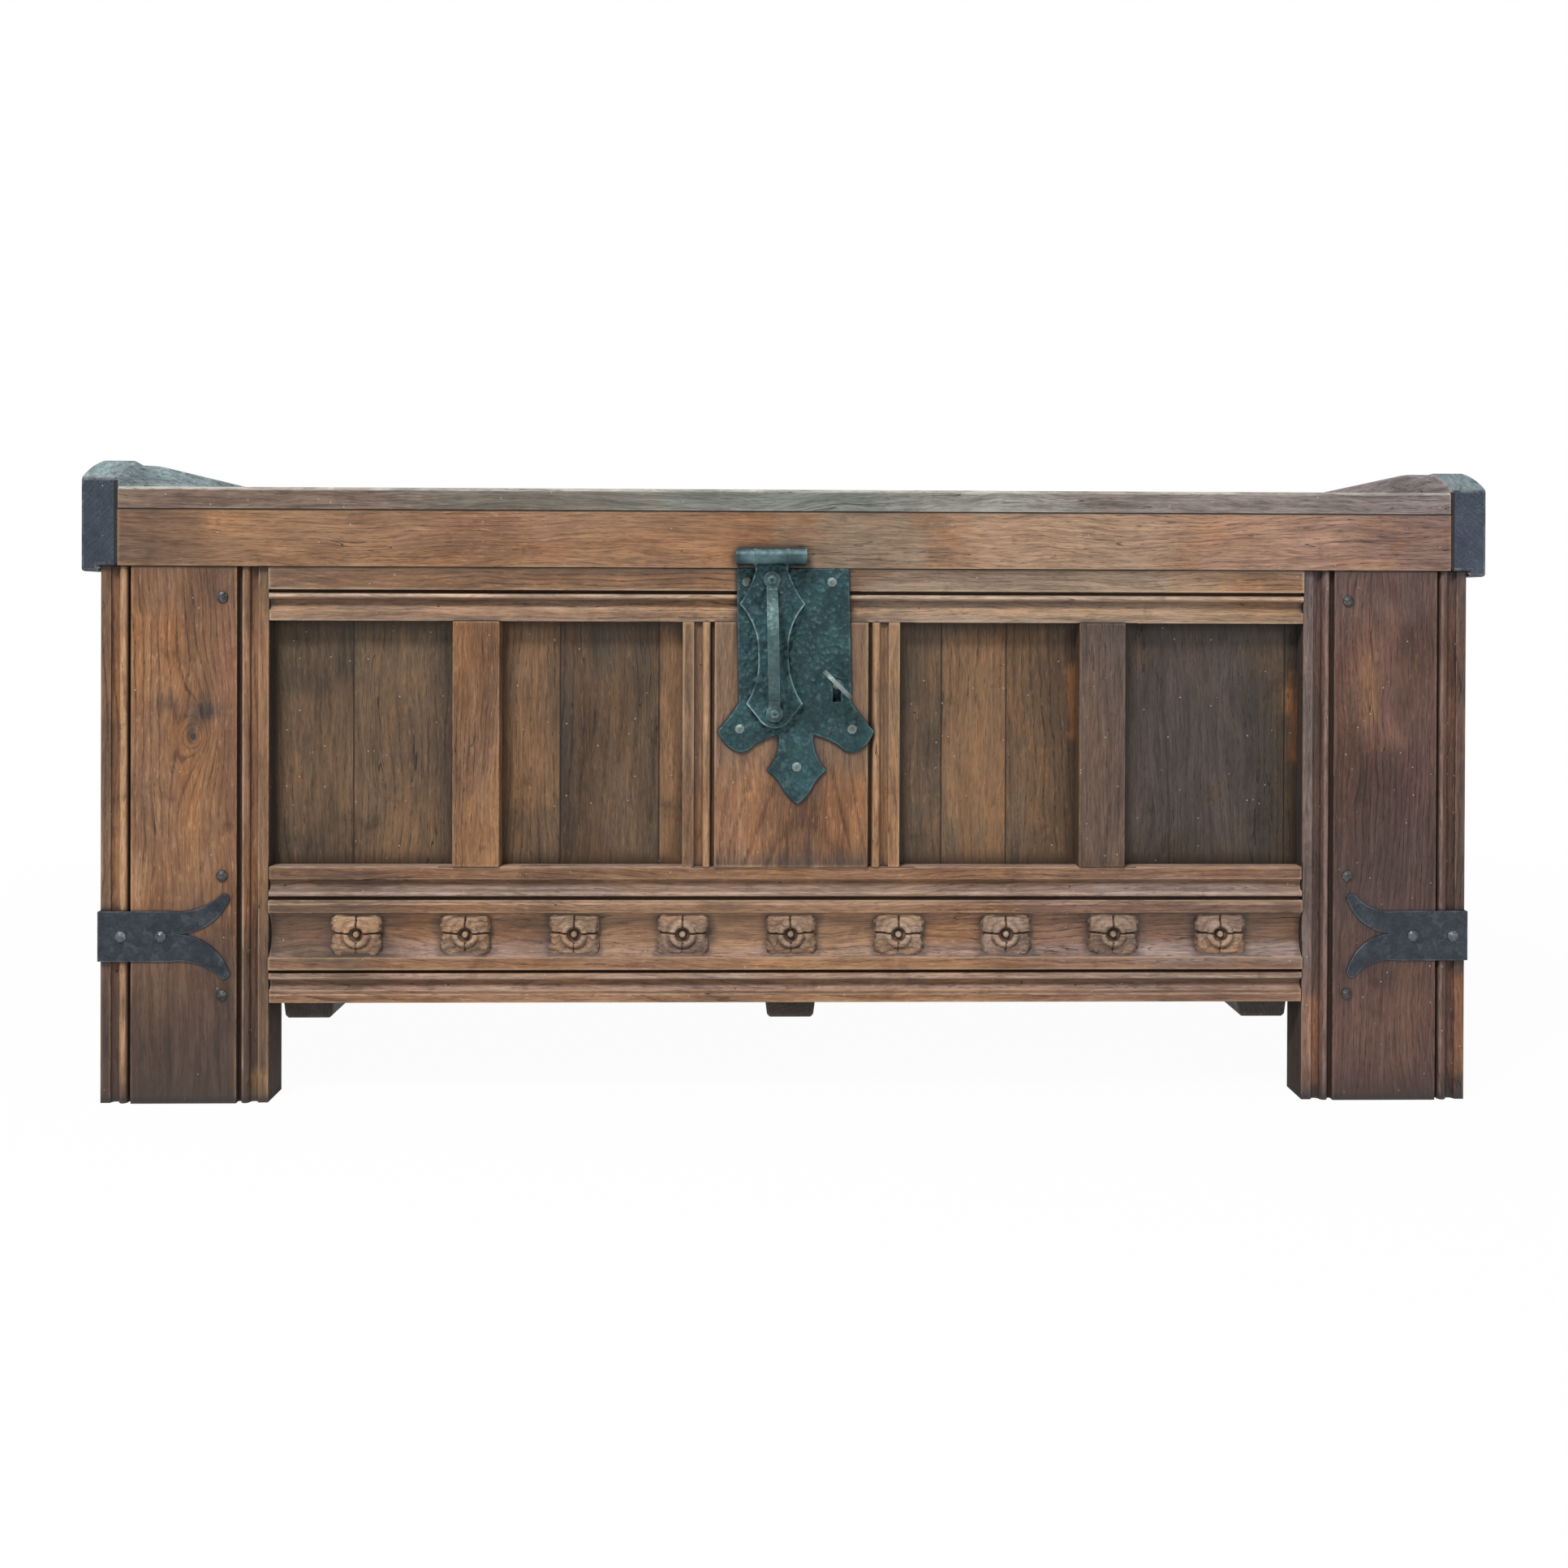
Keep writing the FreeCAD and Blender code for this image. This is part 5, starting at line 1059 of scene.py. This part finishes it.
def lid_boards_oak():
    return oak(
        "oak_lid", OAK_GREY, "x", 31, tilt=0.03, ring=0.0055, grain=1.25, golden=0.4, patina=0.45,
        boards=(1 / 3, 2 / 3), board_axis=Y, board_tones=(0.2, -0.32), specks=0.16, lift=0.9,
        facing=[(Z, 0.3, 0.8, 0.55, WEATHERED)], on="lid_boards",
        patches=[
            (0.08, 0.3, 110, 20, 90, 0.72, UMBER_TAN), (0.31, 0.3, 80, 20, 90, 0.75, OLIVE_GREY),
            (0.49, 0.3, 100, 20, 90, 0.82, TEAL_GREY), (0.64, 0.3, 60, 20, 80, 0.65, PALE_GREY),
            (0.83, 0.3, 90, 20, 90, 0.7, STONE), (0.97, 0.3, 20, 20, 70, 0.7, HEATHER)],
        lines=[(22.8, 1, 2.2, 0.75, LID_EDGE)])


def apron_oak():
    return oak(
        "oak_apron", OAK_WARM, "x", 32, heart=0.2, ring=0.005, grain=0.8, golden=0.6, patina=0.35,
        contact_shade=0.7, lift=0.94, on="lid_front_apron",
        patches=[
            (0.03, 0.6, 40, 30, 60, 0.55, SMOKY), (0.15, 0.5, 80, 30, 100, 0.6, DULL_HONEY),
            (0.39, 0.5, 60, 30, 100, 0.5, HONEY), (0.56, 0.4, 20, 20, 90, 0.75, SMOKED_TAN),
            (0.71, 0.5, 80, 30, 100, 0.65, PALE_TAN), (0.87, 0.5, 50, 30, 90, 0.7, PINK_TAN),
            (0.985, 0.5, 10, 30, 90, 0.8, PLUM_TAN)])


def dress_lid():
    apron = apron_oak()
    # The battens' tops take a painted green-grey sheen: a painted reflection.
    left = oak(
        "oak_batten_left", OAK_SLATE, "y", 33, heart=0.08, golden=0.0, cool=OLIVE, patina=0.2,
        facing=[(Z, 0.25, 0.75, 0.9, GREEN_GREY_SHEEN), (X, 0.55, 0.95, 0.92, PALE_VERDIGRIS)])
    right = oak(
        "oak_batten_right", OAK_SLATE, "y", 34, heart=0.08, golden=0.0, patina=0.2, lift=1.12,
        facing=[(Z, 0.25, 0.75, 0.9, DULL_GREEN_GREY_SHEEN), (X, -0.55, -0.95, 0.95, MAUVE_GREY)])
    softened("lid_boards", lid_boards_oak())
    softened("lid_front_apron", apron)
    softened("lid_rear_apron", apron)
    softened("lid_batten_left", left, BATTEN_EDGE)
    softened("lid_batten_right", right, BATTEN_EDGE)


def dress_lock():
    pin_low, pin_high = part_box("hasp_hinge_pin")
    bail_low, bail_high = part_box("bail_handle")
    held = (pin_low.z - KNUCKLE_WALL, pin_high.z + KNUCKLE_WALL)
    free = (bail_low.z + BAIL_END, bail_high.z - BAIL_END)
    plate = iron("iron_lock", IRON_TEAL, rim=0.5, reach=0.0022)
    hasp = iron("iron_hasp", IRON_HASP, bright=held, ridge_wear_and_glints=0.12, rim=0.65, reach=0.0026)
    bail = iron("iron_bail", IRON_BAIL, hammer=190.0, dent_depth=0.0006, ridge_wear_and_glints=0.1, clear=free)
    nails = iron("iron_lock_nails", IRON_LOCK_NAIL, hammer=260.0, dent_depth=0.0004, ringed=0.3)
    rivets = iron("iron_rivets", IRON_HASP, hammer=260.0, dent_depth=0.0004, ringed=0.3)
    steel = iron("steel_key", IRON_KEY, hammer=300.0, dent_depth=0.0002, roughness=0.38, metallic=0.6,
                 rust=0.3, ridge_wear_and_glints=0.1)
    for node, look in (("lock_plate", plate), ("hasp_staple", plate), ("hasp_plate", hasp),
                       ("hasp_hinge_leaf", hasp), ("bail_handle", bail)):
        forged(node, look)
    forged("key", steel, IRON_EDGE / 2)
    for node in ("hasp_hinge_nails", "lock_plate_nails"):
        dressed(node, nails)
    for node in ("lock_case", "lock_bolt", "hasp_hinge_pin"):
        dressed(node, plate)
    dressed("hasp_rivets", rivets)


def dress_straps_and_hinges():
    slate = iron("iron_straps", IRON_SLATE, hammer=90.0, dent_depth=0.002, ridge_wear_and_glints=0.15, rim=0.75,
                 reach=0.0011)
    hinge = iron("iron_hinges", IRON_SLATE, hammer=90.0, dent_depth=0.002, ridge_wear_and_glints=0.15)
    nails = iron("iron_nails", IRON_NAIL, hammer=260.0, dent_depth=0.0005, metallic=0.5)
    legs = iron("iron_leg_nails", IRON_LEG_NAIL, hammer=260.0, dent_depth=0.0005)
    for node in both_sides("corner_strap"):
        forged(node, slate)
    for half in ("body", "lid"):
        forged(f"rear_hinge_{half}_leaves", hinge)
    for node in ("corner_strap_nails", "rear_hinge_body_nails", "rear_hinge_lid_nails"):
        dressed(node, nails)
    dressed("leg_nails", legs)
    dressed("rear_hinge_pins", hinge)


# ---- floor, light and camera
FLOOR_HALF = 14.0
FLOOR_PAINT = (0.8, 0.8, 0.8)
NEAR_GLOW = 0.965
NEAR = 1.1
FAR = 2.6
AMBIENT = 0.27
LIT_POINT = Vector((0.0, 0.0, 0.35))
CAMERA_PLACE = (-0.0248, -1.7379, 0.524)
CAMERA_PITCH = -0.246
CAMERA_ROLL = -0.206
CAMERA_YAW = -1.066
CAMERA_LENS = 31.65
CAMERA_SHIFT = (-0.0053, -0.1056)


def add_floor():
    """White to the camera, with a faint shadow near the chest that fades to plain white further off."""
    bm = bmesh.new()
    corners = ((-1, -1), (1, -1), (1, 1), (-1, 1))
    bm.faces.new([bm.verts.new((x * FLOOR_HALF, y * FLOOR_HALF, 0.0)) for x, y in corners])
    mesh = bpy.data.meshes.new("floor")
    bm.to_mesh(mesh)
    bm.free()
    floor = placed("floor", mesh)
    g = Graph(bpy.data.materials.new("pale_floor"))
    paint = g.out("BsdfDiffuse", {0: rgba(FLOOR_PAINT)})
    glow = g.out("Emission", {0: rgba(WHITE), 1: 1.0})
    seen = g.node("LightPath", {}).outputs
    point = g.coordinates("Object")
    distance = g.node("VectorMath", {0: point}, operation="LENGTH").outputs["Value"]
    bright = g.times(g.larger(seen["Is Camera Ray"], seen["Is Glossy Ray"]),
                     g.remap(distance, NEAR, FAR, NEAR_GLOW, 1.0))
    mixed = g.out("MixShader", {0: bright, 1: paint, 2: glow})
    g.node("OutputMaterial", {0: mixed})
    mesh.materials.append(g.owner)


def add_world():
    """White to the camera, and an even dim light on everything else."""
    world = bpy.data.worlds.new("studio")
    bpy.context.scene.world = world
    g = Graph(world)
    seen = g.node("LightPath", {}).outputs["Is Camera Ray"]
    light = g.out("Background", {0: rgba(WHITE), 1: AMBIENT})
    white = g.out("Background", {0: rgba(WHITE)})
    mixed = g.out("MixShader", {0: seen, 1: light, 2: white})
    g.node("OutputWorld", {0: mixed})


def add_lamp(name, place, size, power):
    lamp = bpy.data.lights.new(name, "AREA")
    lamp.shape = "RECTANGLE"
    lamp.size, lamp.size_y = size
    lamp.energy = power
    holder = placed(name, lamp)
    holder.location = place
    holder.rotation_euler = (LIT_POINT - Vector(place)).to_track_quat("-Z", "Y").to_euler()


def add_lamps():
    add_lamp("key_light", (-1.5, -3.0, 4.7), (1.3, 1.0), 240.0)
    add_lamp("fill_light", (3.4, -4.2, 1.9), (2.4, 2.0), 42.0)
    add_lamp("top_light", (0.0, 0.2, 3.4), (3.0, 2.0), 18.0)


def add_camera():
    data = bpy.data.cameras.new("camera")
    data.sensor_width = 36.0
    data.lens = CAMERA_LENS
    data.shift_x, data.shift_y = CAMERA_SHIFT
    data.clip_start = 0.05
    camera = placed("camera", data)
    camera.location = CAMERA_PLACE
    camera.rotation_euler = (radians(90.0 + CAMERA_PITCH), radians(CAMERA_ROLL),
                             radians(CAMERA_YAW))
    bpy.context.scene.camera = camera


dress_frame_front()
dress_panels()
dress_sides_and_back()
dress_floor()
dress_lid()
dress_lock()
dress_straps_and_hinges()
add_floor()
add_world()
add_lamps()
add_camera()
bpy.context.scene.view_settings.view_transform = "Standard"
